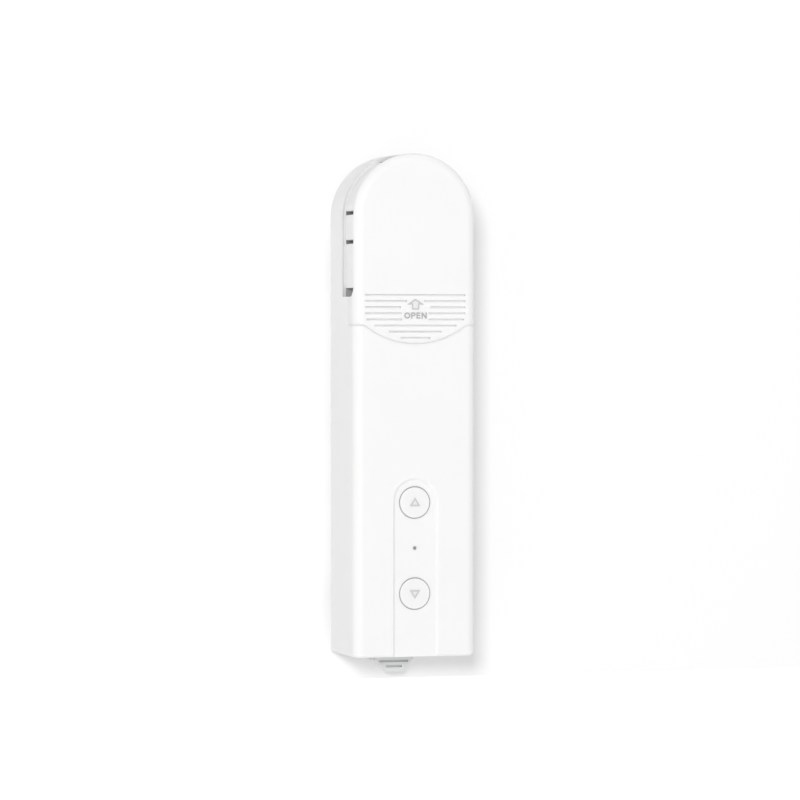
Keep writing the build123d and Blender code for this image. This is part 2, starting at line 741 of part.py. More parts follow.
def shaft_bar(d0, d1):
    """The wheel shaft's D-shaped section between two depths."""
    section = Circle(SHAFT_RADIUS) - Pos(0, SHAFT_RADIUS) * Rectangle(4 * SHAFT_RADIUS, 2 * SHAFT_FLAT)
    return prism(Pos(0, WHEEL_HEIGHT) * section, d0, d1)


def wheel_shaft():
    """Shaft that carries the chain wheel and the output gear, with one flat along all its length."""
    return shaft_bar(SHAFT_FRONT, BACK_INNER - SHAFT_END)


def pocket_outline():
    """The wheel's outline in its middle layer, with a round pocket for each ball of the chain."""
    disc = Circle(WHEEL_RIM)
    for number in range(POCKETS):
        angle = 2 * pi * number / POCKETS
        disc -= Pos(PITCH_RADIUS * cos(angle), PITCH_RADIUS * sin(angle)) * Circle(BALL / 2 + POCKET_FIT)
    return disc


def chain_wheel():
    """Pulley with pocketed lands between two rims and a spoked hub."""
    rear = WHEEL_FRONT + WHEEL_THICK
    rim = (WHEEL_THICK - BALL) / 2 - POCKET_FIT
    place = (0, WHEEL_HEIGHT)
    shape = prism(Pos(*place) * pocket_outline(), WHEEL_FRONT + rim, rear - rim)
    shape += rod(*place, WHEEL_RIM, WHEEL_FRONT, WHEEL_FRONT + rim)
    shape += rod(*place, WHEEL_RIM, rear - rim, rear)
    recess = rod(*place, RECESS_RADIUS, WHEEL_FRONT - PAST, WHEEL_FRONT + RECESS_DEEP)
    shape -= recess - rod(*place, HUB_RADIUS, WHEEL_FRONT - PAST, WHEEL_FRONT + RECESS_DEEP)
    middle = HEIGHT / 2
    for number in range(SPOKES):
        turn = Pos(0, 0, BOTTOM + WHEEL_HEIGHT) * Rot(0, number * 360 / SPOKES, 0)
        web = slab(HUB_RADIUS - JOIN, RECESS_RADIUS + JOIN, WHEEL_FRONT + SPOKE_SET,
                   WHEEL_FRONT + RECESS_DEEP + JOIN, middle - SPOKE / 2, middle + SPOKE / 2)
        shape += turn * web
    return shape - shaft_bar(WHEEL_FRONT - PAST, rear + PAST)


def wheel_cap():
    """Clip that holds the wheel on its shaft."""
    shape = rod(0, WHEEL_HEIGHT, CAP_RADIUS, WHEEL_FRONT - CAP_THICK, WHEEL_FRONT)
    return shape - shaft_bar(SHAFT_FRONT, WHEEL_FRONT + PAST)


def chain_guide():
    """Trough under the wheel that keeps the balls in their pockets."""
    ring = Circle(GUIDE_OUTER) - Circle(GUIDE_INNER)
    ring &= Pos(0, -GUIDE_OUTER / 2) * Rectangle(3 * GUIDE_OUTER, GUIDE_OUTER)
    return prism(Pos(0, WHEEL_HEIGHT) * ring, BALL_ROOM + GUIDE_FIT, CHAMBER_REAR)


def bush(d0, d1, radius):
    """Plain bearing ring for the wheel shaft."""
    ring = rod(0, WHEEL_HEIGHT, radius, d0, d1)
    return ring - rod(0, WHEEL_HEIGHT, SHAFT_RADIUS + RUN_FIT, d0 - PAST, d1 + PAST)


# Motor

def motor_can():
    """Drawn steel can with its bearing hole."""
    place = (0, MOTOR_HEIGHT)
    shape = rod(*place, MOTOR_RADIUS, MOTOR_FRONT + END_CAP, FRAME_FRONT)
    return shape - rod(*place, MOTOR_SHAFT + RUN_FIT, MOTOR_FRONT, FRAME_REAR)


def motor_cap():
    """Plastic end cap with its two terminals."""
    place = (0, MOTOR_HEIGHT)
    shape = rod(*place, MOTOR_RADIUS - MOTOR_EDGE, MOTOR_FRONT, MOTOR_FRONT + END_CAP)
    front = MOTOR_FRONT + TERMINAL_THICK
    low = MOTOR_HEIGHT - MOTOR_RADIUS - TERMINAL_DROP
    for side in (-TERMINAL_SIDE, TERMINAL_SIDE):
        shape += slab(side - TERMINAL_HALF, side + TERMINAL_HALF, front, front + TERMINAL_THICK,
                      low, MOTOR_HEIGHT)
    return shape


# Cells

def cell(side):
    """Round cell with a raised contact at its upper end."""
    top = CELL_BOTTOM + CELL_LENGTH
    shape = upright(side * CELL_SIDE, CELL_DEPTH, CELL_RADIUS, CELL_BOTTOM, top - CONTACT_HIGH)
    return shape + upright(side * CELL_SIDE, CELL_DEPTH, CELL_CONTACT, top - CONTACT_HIGH - JOIN, top)


def cell_cradle():
    """Moulded cradle with a scalloped rear and closed ends."""
    bottom = FRONT_WALL + CRADLE_FIT
    side_out = INNER - CRADLE_FIT
    rear = BACK_INNER - CRADLE_FIT
    shape = slab(-side_out, side_out, CELL_FRONT + CRADLE_FIT, rear, bottom, CRADLE_TOP)
    low = CELL_BOTTOM - CRADLE_FIT
    top = CRADLE_TOP - CRADLE_WALL
    for side in (-1, 1):
        shape -= upright(side * CELL_SIDE, CELL_DEPTH, CELL_RADIUS + CELL_GAP, low, top)
    return shape - slab(-HALF, HALF, 0, CELL_DEPTH, low, top)


# Electronics

def circuit_board():
    """Board with rounded corners."""
    outline = Pos(0, (BOARD_BOTTOM + BOARD_TOP) / 2) * RectangleRounded(
        2 * BOARD_HALF, BOARD_TOP - BOARD_BOTTOM, BOARD_CORNER)
    return prism(outline, BOARD_FRONT, BOARD_FRONT + BOARD_THICK)


def tact_switch(z):
    """Square switch with a round plunger towards the button."""
    half = SWITCH / 2
    front = BOARD_FRONT - SWITCH_BODY
    shape = slab(-half, half, front, BOARD_FRONT, z - half, z + half)
    return shape + rod(0, z, STEM_RADIUS, front - SWITCH_STEM, front + JOIN)


def radio_module():
    """Shield can of the radio, above the upper button."""
    low = BUTTON_LEVELS["up"] + SWITCH / 2 + RADIO_LOW
    return slab(-RADIO_HALF, RADIO_HALF, BOARD_FRONT - RADIO_DEEP, BOARD_FRONT, low, BOARD_TOP - RADIO_TOP)


def status_led():
    """Small lamp behind the light pipe."""
    low = LIGHT_HEIGHT - LED_HIGH
    return slab(-LED_HALF, LED_HALF, BOARD_FRONT - LED_HALF, BOARD_FRONT, low, LIGHT_HEIGHT + LED_HIGH)


def light_pipe():
    """Clear pin that carries the lamp's light to the channel floor."""
    rear = BOARD_FRONT - LED_HALF - BAR_GAP
    return rod(0, LIGHT_HEIGHT, LIGHT_RADIUS, CHANNEL_DEEP + RUN_FIT, rear)


def plug(x, z):
    """White wire-to-board connector."""
    front = BOARD_FRONT - PLUG_DEEP
    half = PLUG_HALF - PLUG_WALL
    shape = slab(x - PLUG_HALF, x + PLUG_HALF, front, BOARD_FRONT, z - PLUG_HIGH, z + PLUG_HIGH)
    return shape - slab(x - half, x + half, front + PLUG_WALL, BOARD_FRONT - PLUG_WALL,
                        z - PLUG_HIGH + PLUG_WALL, z + PLUG_HIGH + PAST)


def usb_shell():
    """Metal shell of the charging port, open at its lower end."""
    top = PORT_INSET + PORT_LENGTH
    return port_prism(0, PORT_INSET, top) - port_prism(-PORT_SHELL, PORT_INSET - PAST, top - PORT_END)


def usb_tongue():
    """Contact tongue inside the port."""
    top = PORT_INSET + PORT_LENGTH - PORT_END
    front = BOARD_FRONT - PORT_HIGH / 2 - TONGUE_THICK / 2
    return slab(-TONGUE_HALF, TONGUE_HALF, front, front + TONGUE_THICK, PORT_INSET + TONGUE_INSET, top)


def button(z):
    """Round cap with a bevelled edge and a bar behind the wall that keeps it in."""
    face = CHANNEL_DEEP - BUTTON_PROUD
    shape = rod(0, z, BUTTON_RADIUS, face, FLANGE_FRONT + JOIN)
    rims = shape.edges().filter_by(lambda e: e.center().Y < FRONT + face + NEAR)
    shape = chamfer(rims, BUTTON_EDGE)
    return shape + slab(-BUTTON_FLANGE, BUTTON_FLANGE, FLANGE_FRONT, FLANGE_REAR, z - BUTTON_TAB,
                        z + BUTTON_TAB)


# Bracket and latch

def wall_bracket():
    """Screwed plate with a tee that the unit slides down onto, and a foot that it rests on."""
    total = DEPTH + STANDOFF
    plate_front = total - BRACKET_PLATE
    tee_front = DEPTH + SLIDE_GAP
    outline = Pos(0, (BRACKET_BOTTOM + BRACKET_TOP) / 2) * RectangleRounded(
        2 * BRACKET_HALF, BRACKET_TOP - BRACKET_BOTTOM, BRACKET_CORNER)
    shape = prism(outline, plate_front, total)
    shape += slab(-TEE_NECK, TEE_NECK, tee_front, plate_front + JOIN, TEE_BOTTOM, TEE_TOP)
    shape += slab(-TEE_HALF, TEE_HALF, tee_front, tee_front + TEE_THICK, TEE_BOTTOM, TEE_TOP)
    foot_top = -SLIDE_GAP
    foot_low = foot_top - FOOT_THICK
    shape += slab(-FOOT_HALF, FOOT_HALF, plate_front, total, foot_low, BRACKET_BOTTOM + FOOT_LAP)
    shape += slab(-FOOT_HALF, FOOT_HALF, PIVOT_DEPTH + FOOT_FRONT, total, foot_low, foot_top)
    ear = slab(EAR_IN, EAR_OUT, PIVOT_DEPTH - EAR_FRONT, total, foot_low - EAR_DROP, foot_top)
    for side in mirrored(ear):
        shape += side
    shape -= cross_bar(PIVOT_DEPTH, -PIVOT_DROP, PIN_RADIUS, -FOOT_HALF, FOOT_HALF)
    for offset in (-SCREW_SPACING / 2, SCREW_SPACING / 2):
        z = HEIGHT / 2 + offset
        shape -= rod(0, z, WALL_SCREW, tee_front - PAST, total + PAST)
        sink = WALL_SCREW_HEAD - WALL_SCREW
        shape -= cone(0, z, WALL_SCREW_HEAD, WALL_SCREW, tee_front, tee_front + sink)
    return shape


def tab_outline():
    """Finger tab of the latch, which narrows from its shoulders to its toe."""
    right = [(LATCH_HALF, LATCH_TOP), LATCH_SHOULDER, LATCH_TOE]
    left = [(-x, z) for x, z in reversed(right)]
    tab = make_face(Polyline(*right, *left, close=True))
    return fillet(tab.vertices().filter_by(lambda v: v.Y < LATCH_TOP), LATCH_CORNER)


def release_latch():
    """Rocker under the housing: a grooved finger tab, a tooth in the bottom wall and a pivot hub."""
    rear = LATCH_FRONT + LATCH_THICK
    shape = prism(tab_outline(), LATCH_FRONT, rear)
    for level, half in GRIP_LEVELS:
        low = level - GRIP_HIGH / 2
        shape -= slab(-half, half, LATCH_FRONT - PAST, LATCH_FRONT + GRIP_DEEP, low, low + GRIP_HIGH)
    shape += slab(-TOOTH_HALF, TOOTH_HALF, LATCH_FRONT, rear, LATCH_TOP - JOIN, TOOTH_TOP)
    hub_half = EAR_IN - SLIDE_GAP
    hub_radius = PIN_RADIUS + HUB_WALL
    shape += cross_bar(PIVOT_DEPTH, -PIVOT_DROP, hub_radius, -hub_half, hub_half)
    shape += slab(-hub_half, hub_half, rear - JOIN, PIVOT_DEPTH, -PIVOT_DROP - ARM_DROP, -PIVOT_DROP)
    return shape - cross_bar(PIVOT_DEPTH, -PIVOT_DROP, PIN_RADIUS + RUN_FIT, -FOOT_HALF, FOOT_HALF)


def latch_pin():
    """Pin through the bracket's ears and the latch hub."""
    return cross_bar(PIVOT_DEPTH, -PIVOT_DROP, PIN_RADIUS, -EAR_OUT, EAR_OUT)


def build():
    """Make every node and write it."""
    os.makedirs("parts", exist_ok=True)
    form = outer_form()
    save(wall_bracket(), "wall_bracket")
    save(release_latch(), "release_latch")
    save(latch_pin(), "latch_pin")
    save(main_housing(form), "main_housing")
    save(back_cover(), "back_cover")
    save(chain_cover(form), "chain_cover")
    for name, z in BUTTON_LEVELS.items():
        save(button(z), f"{name}_button")
        save(tact_switch(z), f"{name}_switch")
    save(light_pipe(), "light_pipe")
    save(status_led(), "status_led")
    save(circuit_board(), "circuit_board")
    save(radio_module(), "radio_module")
    save(plug(-PLUG_SIDE, PLUG_HEIGHT), "motor_plug")
    save(plug(PLUG_SIDE, PLUG_HEIGHT), "battery_plug")
    save(usb_shell(), "usb_shell")
    save(usb_tongue(), "usb_tongue")
    save(cell(-1), "cell_left")
    save(cell(1), "cell_right")
    save(cell_cradle(), "cell_cradle")
    save(motor_can(), "motor_can")
    save(motor_cap(), "motor_cap")
    save(motor_pinion(), "motor_pinion")
    save(first_gear(), "first_gear")
    save(second_gear(), "second_gear")
    save(output_gear(), "output_gear")
    save(axle(FIRST_AXLE), "first_axle")
    save(axle(SECOND_AXLE), "second_axle")
    save(gear_frame(), "gear_frame")
    save(wheel_shaft(), "wheel_shaft")
    save(chain_wheel(), "chain_wheel")
    save(wheel_cap(), "wheel_cap")
    save(chain_guide(), "chain_guide")
    save(bush(FRONT_BEARING, CHAMBER_REAR + CHAMBER_WALL, BUSH_RADIUS), "front_bush")
    save(bush(REAR_BEARING, BACK_INNER, REAR_BUSH_RADIUS), "rear_bush")


build()
print("first axle", FIRST_AXLE)
print("second axle", SECOND_AXLE)
print("wheel height", WHEEL_HEIGHT)
print("size", WIDTH, DEPTH, HEIGHT)
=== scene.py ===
"""Looks of a roller shade motor: finishes for its CAD parts, its marks and screws, and a studio round it."""

import json
from math import asin, cos, radians, sin, sqrt, tan

import bmesh
import bpy
from bpy.props import FloatProperty, FloatVectorProperty, IntProperty, PointerProperty
from mathutils import Matrix, Vector


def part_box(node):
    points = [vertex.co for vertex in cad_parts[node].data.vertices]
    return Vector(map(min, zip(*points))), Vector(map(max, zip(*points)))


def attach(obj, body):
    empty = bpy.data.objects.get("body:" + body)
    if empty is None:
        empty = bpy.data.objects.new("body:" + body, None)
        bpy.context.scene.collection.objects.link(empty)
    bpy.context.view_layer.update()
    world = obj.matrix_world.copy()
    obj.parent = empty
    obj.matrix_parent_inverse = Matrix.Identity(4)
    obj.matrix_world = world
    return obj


bl_info = {
    "name": "Roller Shade Motor",
    "version": (1, 0, 0),
    "blender": (4, 5, 0),
    "location": "View3D > Sidebar > Shade Motor",
    "description": "Finishes a wall-mounted roller shade motor and sets up its studio",
    "category": "Object",
}

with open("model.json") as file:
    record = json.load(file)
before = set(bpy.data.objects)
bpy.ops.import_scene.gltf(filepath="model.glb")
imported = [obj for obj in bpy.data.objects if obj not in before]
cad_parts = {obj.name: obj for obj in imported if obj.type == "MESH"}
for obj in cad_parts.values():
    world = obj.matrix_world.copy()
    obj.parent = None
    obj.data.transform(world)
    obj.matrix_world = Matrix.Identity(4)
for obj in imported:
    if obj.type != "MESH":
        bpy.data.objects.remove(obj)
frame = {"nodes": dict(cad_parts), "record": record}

MM = 0.001
BEDDING = 0.03 * MM
CUT_DISTANCE = 1e-7
FACES_UP = 0.99
MOULD_EDGE = 0.12 * MM
METAL_EDGE = 0.06 * MM
PAPER_WHITE = (0.985, 0.985, 0.985, 1)
SENSOR_WIDTH = 36.0

# Scales of the surface noise, in cycles per metre
MOTTLE = 38.0
GRAIN = 2600.0
# Grain of the dark sheets of painted shade in the slots
PAINTED_SHADE_GRAIN = 1400.0
STIPPLE = 5200.0
DRAWN_LINES = 900.0
SLEEVE_LINES = 700.0
TRACKS = 420.0

# Smooth noise stays mostly between these values
NOISE_LOW, NOISE_HIGH = 0.3, 0.7

HOUSING_LOW, HOUSING_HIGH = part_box("main_housing")
FRONT_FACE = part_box("chain_cover")[0].y
REAR_FACE = HOUSING_HIGH.y
WALL_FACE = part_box("wall_bracket")[1].y
LATCH_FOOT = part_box("release_latch")[0].z
BOTTOM_FACE = HOUSING_LOW.z
HALF_WIDTH = HOUSING_HIGH.x
DOME_CENTRE = HOUSING_HIGH.z - HALF_WIDTH


# Property groups

def length(name, text, default):
    """A size in metres that a user can change."""
    return FloatProperty(name=name, description=text, default=default, unit="LENGTH", precision=5)


def colour(name, text, default):
    """A colour that a user can change."""
    return FloatVectorProperty(name=name, description=text, default=default, subtype="COLOR", size=3,
                               min=0, max=1)


class ShellSettings(bpy.types.PropertyGroup):
    """Colours of the parts that show, and of the strips and sheets of painted shade."""

    shell: colour("Shell", "Colour of the moulded casing", (0.93, 0.93, 0.925))
    button: colour("Button", "Colour of the two buttons", (0.9, 0.9, 0.895))
    bracket: colour("Bracket", "Colour of the wall bracket and its latch", (0.79, 0.805, 0.8))
    wheel: colour("Wheel", "Colour of the chain wheel and its guide", (0.2, 0.205, 0.21))
    # Painted shade: colour of the pale strip laid on the dome's ledge where the ledge would otherwise be lit.
    seal: colour("Seal", "Colour of the soft shade_strip behind the band of the dome", (0.78, 0.78, 0.775))
    # Painted shadow line along that strip, darkest low on the dome and fading towards the top.
    shade_strip_line: colour("Seal line", "Colour of the darker line along that seal", (0.6, 0.6, 0.595))
    # Painted shade: a pale cord that fills the cover's seam so that the seam's shade reads as a light grey
    # line.
    seam_shade_strip: colour("Seam seal", "Colour of the seal in the cover's seam", (0.9, 0.9, 0.895))
    # Painted shade: grey rings in the gaps round the buttons.
    button_shade_strip: colour("Button seal", "Colour of the seals round the buttons", (0.5, 0.5, 0.495))
    # Painted shade: dark sheets at the back of the slots and of the open crest, where there is only shade.
    shade_sheet: colour("Lining", "Colour of the foam at the back of the slots", (0.22, 0.22, 0.22))
    # Painted shade: a less dark sheet at the back of the windows.
    window_shade_sheet: colour("Window lining", "Colour of the foam at the back of the windows", (0.36, 0.36, 0.36))
    light: colour("Light", "Colour of the dark pipe in front of the lamp", (0.3, 0.3, 0.305))


class MarkSettings(bpy.types.PropertyGroup):
    """Sizes and colours of the printed marks."""

    ink: colour("Ink", "Colour of the arrow's outline", (0.56, 0.56, 0.56))
    word_ink: colour("Word ink", "Colour of the word", (0.44, 0.44, 0.44))
    pale_ink: colour("Pale ink", "Colour inside the marks' outlines", (0.8, 0.8, 0.8))
    button_ink: colour("Button ink", "Colour of the outlines on the buttons", (0.6, 0.6, 0.6))
    thickness: length("Thickness", "How far a mark stands proud", 0.02 * MM)
    arrow_width: length("Arrow width", "Width over the wings of the arrow", 5.6 * MM)
    arrow_top: length("Arrow top", "Tip of the arrow above the housing's bottom", 113.0 * MM)
    head_height: length("Head height", "Height of the arrow's head", 1.8 * MM)
    stem_width: length("Stem width", "Width of the arrow's stem", 2.4 * MM)
    stem_height: length("Stem height", "Height of the arrow's stem", 1.6 * MM)
    arrow_line: length("Arrow line", "Width of the arrow's outline", 0.44 * MM)
    word_width: length("Word width", "Width of the word under the arrow", 7.4 * MM)
    word_height: length("Word height", "Height of the word's capitals", 1.95 * MM)
    word_middle: length("Word middle", "Middle of the word above the housing's bottom", 107.75 * MM)
    triangle_width: length("Triangle width", "Width of a button's triangle", 3.5 * MM)
    triangle_height: length("Triangle height", "Height of a button's triangle", 2.8 * MM)
    triangle_rise: length("Triangle rise", "How far a triangle sits towards its tip", 0.25 * MM)
    triangle_line: length("Triangle line", "Width of a triangle's outline", 0.52 * MM)


class TrimSettings(bpy.types.PropertyGroup):
    """Sizes of the painted shade: the strips on the dome's ledge and in the seams, and the sheets in the slots.
    """

    # Painted shade on the dome's ledge: sizes of its pale strip and darker line.
    shade_strip_depth: length("Seal depth", "Ledge that the seal lies on, behind the front", 14.2 * MM)
    shade_strip_inset: length("Seal inset", "From the dome's outside to the seal", 0.05 * MM)
    shade_strip_width: length("Seal width", "Width of the seal", 0.93 * MM)
    shade_strip_height: length("Seal height", "Height of the seal over its ledge", 0.06 * MM)
    line_inset: length("Line inset", "From the dome's outside to the seal's darker line", 0.04 * MM)
    line_width: length("Line width", "Width of the seal's darker line", 0.6 * MM)
    line_height: length("Line height", "Height of the darker line over the ledge", 0.09 * MM)
    shade_strip_low: length("Seal end", "Lower end of the seal above the housing's bottom", 113.7 * MM)
    slot_depth: length("Slot depth", "Rear wall of a slot, behind the front", 13.7 * MM)
    slot_height: length("Slot height", "Height of a slot", 1.25 * MM)
    upper_slot: length("Upper slot", "Middle of the upper slot above the housing's bottom", 140.2 * MM)
    lower_slot: length("Lower slot", "Middle of the lower slot above the housing's bottom", 131.05 * MM)
    window_height: length("Window height", "Height of the window under the slots", 2.8 * MM)
    # Painted shade in the open crest and the slots: sizes of its dark sheets.
    crest_half: length("Crest half", "Half width of the foam in the open crest", 8.1 * MM)
    crest_radius: length("Crest radius", "Top of that foam, from the dome's centre", 18.9 * MM)
    crest_foot: length("Crest foot", "Foot of that foam, from the dome's centre", 11.2 * MM)
    shade_sheet_out: length("Lining's outer end", "Outer end of the foam, from the middle", 18.95 * MM)
    shade_sheet_in: length("Lining's inner end", "Inner end of the foam, from the middle", 14.6 * MM)
    shade_sheet_thick: length("Lining thickness", "Thickness of the foam", 0.3 * MM)
    shade_sheet_room: length("Lining room", "Room between the foam and the slot's sides", 0.03 * MM)
    segments: IntProperty(name="Segments", description="Sides of a full circle of a seal", default=192, min=48)
    seam_level: length("Seam level", "Seam's straight part above the housing's bottom", 104.69 * MM)
    edge_round: length("Edge round", "Radius of the front face's edge", 3.0 * MM)
    cheek_depth: length("Cheek depth", "End of the seam's seal on the side, behind the front", 6.9 * MM)
    lobe_centre: length("Lobe centre", "Centre of the seam's lobe above the housing's bottom", 126.0 * MM)
    lobe_radius: length("Lobe radius", "Radius of the seam's lobe", 27.11 * MM)
    lobe_blend: length("Lobe blend", "Radius between the lobe and the straight part", 2.89 * MM)
    # Painted shade in the cover's seam: size and depth of its cord.
    cord_radius: length("Cord radius", "Radius of the seal in the cover's seam", 0.1 * MM)
    cord_depth: length("Cord depth", "Middle of that seal behind the front", 0.12 * MM)
    # Painted shade round the buttons: sizes of its rings.
    ring_radius: length("Ring radius", "Radius of the seal round a button", 5.0 * MM)
    ring_thick: length("Ring thickness", "Radius of that seal's section", 0.12 * MM)
    ring_depth: length("Ring depth", "Middle of that seal behind the button's face", 0.75 * MM)
    ring_sides: IntProperty(name="Ring sides", description="Sides of that seal's section", default=12, min=6)


class ScrewSettings(bpy.types.PropertyGroup):
    """Sizes of the screws in the back cover."""

    head_radius: length("Head radius", "Radius of a screw's head", 1.15 * MM)
    sink: length("Sink", "Depth of the head below the plate's face", 0.25 * MM)
    slot_length: length("Slot length", "Length of the cross recess", 1.5 * MM)
    slot_width: length("Slot width", "Width of the cross recess", 0.34 * MM)
    slot_depth: length("Slot depth", "Depth of the cross recess", 0.4 * MM)
    head_height: length("Head height", "Height of a screw's head", 1.36 * MM)
    lower_side: length("Lower side", "Lower screws, from the middle", 15.9 * MM)
    lower_level: length("Lower level", "Lower screws, above the housing's bottom", 74.2 * MM)
    upper_side: length("Upper side", "Upper screws, from the middle", 12.2 * MM)
    upper_level: length("Upper level", "Upper screws, above the housing's bottom", 149.1 * MM)
    rim_round: length("Rim round", "Round of the head's rim", 0.2 * MM)
    turn: FloatProperty(name="Turn", description="Turn of each recess from the one before", default=radians(17),
                        subtype="ANGLE")
    segments: IntProperty(name="Segments", description="Sides of a head", default=32, min=12)


class StudioSettings(bpy.types.PropertyGroup):
    """Light, floor and camera."""

    fill: FloatProperty(name="Fill", description="Strength of the light from all round", default=0.67)
    fill_slope: FloatVectorProperty(name="Fill slope", description="How the light from all round grows along "
                                    "each axis", size=3, subtype="XYZ", default=(-0.08, 0.0, -0.18))
    key_power: FloatProperty(name="Key power", description="Power of the lamp in front", default=11.2,
                             unit="POWER")
    key_place: FloatVectorProperty(name="Key place", description="Middle of the lamp in front", size=3,
                                   subtype="XYZ", unit="LENGTH", default=(-0.59, -1.6, 0.3))
    key_size: length("Key size", "Side of the lamp in front", 0.29)
    rim_power: FloatProperty(name="Rim power", description="Power of the lamp above", default=1.35,
                             unit="POWER")
    rim_place: FloatVectorProperty(name="Rim place", description="Middle of the lamp above", size=3,
                                   subtype="XYZ", unit="LENGTH", default=(0.45, -0.08, 0.95))
    rim_size: length("Rim size", "Side of the lamp above", 0.3)
    reach: length("Reach", "Half the width of the wall and the floor", 3.0)
    wall_gap: length("Wall gap", "From the bracket's back to the wall", 0.5 * MM)
    wall_glow: FloatProperty(name="Wall glow", description="Light that the wall shows by itself", default=0.015)
    floor_glow: FloatProperty(name="Floor glow", description="Light that the floor shows by itself",
                              default=0.6)
    floor_height: length("Floor height", "Height of the floor", LATCH_FOOT - 2.9 * MM)
    camera_place: FloatVectorProperty(name="Camera place", description="Place of the camera", size=3,
                                      subtype="XYZ", unit="LENGTH", default=(-0.3449, -1.2100, 0.02015))
    camera_aim: FloatVectorProperty(name="Camera aim", description="Point that the camera looks at", size=3,
                                    subtype="XYZ", unit="LENGTH", default=(-0.0047, -0.0321, 0.00155))
    lens: FloatProperty(name="Lens", description="Focal length in millimetres", default=174.9)


# Materials

class Nodes:
    """A node tree that is filled by short calls."""

    def __init__(self, name):
        self.material = bpy.data.materials.new(name)
        self.material.use_nodes = True
        self.tree = self.material.node_tree
        self.shader = self.tree.nodes["Principled BSDF"]

    def add(self, kind, **values):
        """A new node with its properties set."""
        node = self.tree.nodes.new(kind)
        for key, value in values.items():
            setattr(node, key, value)
        return node

    def link(self, start, end):
        """Join an output to an input."""
        self.tree.links.new(start, end)

    def set(self, **values):
        """Constants on the shader's own sockets, by name with underscores for blanks."""
        for key, value in values.items():
            self.shader.inputs[key.replace("_", " ")].default_value = value

    def place(self, scale=(1, 1, 1)):
        """Object coordinates, scaled along each axis."""
        where = self.add("ShaderNodeTexCoord")
        mapping = self.add("ShaderNodeMapping")
        mapping.inputs["Scale"].default_value = scale
        self.link(where.outputs["Object"], mapping.inputs["Vector"])
        return mapping.outputs["Vector"]

    def noise(self, where, scale, detail=2.0):
        """Smooth noise at a scale in cycles per metre."""
        node = self.add("ShaderNodeTexNoise")
        node.inputs["Scale"].default_value = scale
        node.inputs["Detail"].default_value = detail
        self.link(where, node.inputs["Vector"])
        return node.outputs["Fac"]

    def ramp(self, value, low, high):
        """The usual reach of a noise stretched between two numbers."""
        node = self.add("ShaderNodeMapRange")
        node.inputs["From Min"].default_value = NOISE_LOW
        node.inputs["From Max"].default_value = NOISE_HIGH
        node.inputs["To Min"].default_value = low
        node.inputs["To Max"].default_value = high
        self.link(value, node.inputs["Value"])
        return node.outputs["Result"]

    def tint(self, value, base, spread):
        """A colour that wanders a little round its base."""
        self.blend(value, [max(c * (1 - spread), 0) for c in base], [min(c * (1 + spread), 1) for c in base])

    def blend(self, value, first, second):
        """The shader's colour between two others."""
        node = self.add("ShaderNodeMix", data_type="RGBA")
        colours = [s for s in node.inputs if s.type == "RGBA"]
        colours[0].default_value = (*first, 1)
        colours[1].default_value = (*second, 1)
        self.link(value, node.inputs["Factor"])
        result = [s for s in node.outputs if s.type == "RGBA"][0]
        self.link(result, self.shader.inputs["Base Color"])

    def bump(self, height, distance, strength, under=None):
        """Raise the surface by a height map; under is a normal to start from."""
        node = self.add("ShaderNodeBump")
        node.inputs["Strength"].default_value = strength
        node.inputs["Distance"].default_value = distance
        self.link(height, node.inputs["Height"])
        if under:
            self.link(under, node.inputs["Normal"])
        return node.outputs["Normal"]


def soft_edges(nodes, radius):
    """Normal that rounds the edges a little, as a mould does."""
    node = nodes.add("ShaderNodeBevel", samples=6)
    node.inputs["Radius"].default_value = radius
    return node.outputs["Normal"]


def moulded(name, base, roughness, grain=GRAIN, grain_height=0.004 * MM, spread=0.012, milky=0.0):
    """Satin moulded plastic: fine spark-eroded grain, slight mottling and softened edges."""
    nodes = Nodes(name)
    where = nodes.place()
    broad = nodes.ramp(nodes.noise(where, MOTTLE), 0.0, 1.0)
    nodes.tint(broad, base, spread)
    fine = nodes.noise(where, grain, 3.0)
    nodes.link(nodes.ramp(fine, roughness - 0.05, roughness + 0.05), nodes.shader.inputs["Roughness"])
    normal = nodes.bump(fine, grain_height, 0.6, soft_edges(nodes, MOULD_EDGE))
    nodes.link(normal, nodes.shader.inputs["Normal"])
    nodes.set(IOR=1.47, Specular_IOR_Level=0.25)
    nodes.set(Subsurface_Weight=milky, Subsurface_Radius=(1, 1, 0.95), Subsurface_Scale=0.7 * MM)
    return nodes.material


def painted_shade_fade(name, low_colour, high_colour, low, high):
    """Painted shade that fades: a matt colour that goes from one to the other between two heights."""
    nodes = Nodes(name)
    where = nodes.place()
    parts = nodes.add("ShaderNodeSeparateXYZ")
    nodes.link(where, parts.inputs["Vector"])
    height = nodes.add("ShaderNodeMapRange")
    height.inputs["From Min"].default_value = low
    height.inputs["From Max"].default_value = high
    nodes.link(parts.outputs["Z"], height.inputs["Value"])
    nodes.blend(height.outputs["Result"], low_colour, high_colour)
    fine = nodes.noise(where, GRAIN, 3.0)
    nodes.link(nodes.ramp(fine, 0.65, 0.75), nodes.shader.inputs["Roughness"])
    nodes.link(nodes.bump(fine, 0.004 * MM, 0.6), nodes.shader.inputs["Normal"])
    return nodes.material


def painted_shade(name, base):
    """Painted shade: a matt dark sheet with a coarse grain like open cells."""
    return moulded(name, base, 0.9, grain=PAINTED_SHADE_GRAIN, grain_height=0.03 * MM)


def metal(name, base, roughness, stretch):
    """Metal with fine lines along one direction."""
    nodes = Nodes(name)
    where = nodes.place(scale=stretch)
    lines = nodes.noise(where, DRAWN_LINES, 4.0)
    nodes.tint(nodes.ramp(lines, 0.0, 1.0), base, 0.05)
    nodes.link(nodes.ramp(lines, roughness - 0.08, roughness + 0.08), nodes.shader.inputs["Roughness"])
    normal = nodes.bump(lines, 0.004 * MM, 0.5, soft_edges(nodes, METAL_EDGE))
    nodes.link(normal, nodes.shader.inputs["Normal"])
    nodes.set(Metallic=1.0)
    return nodes.material


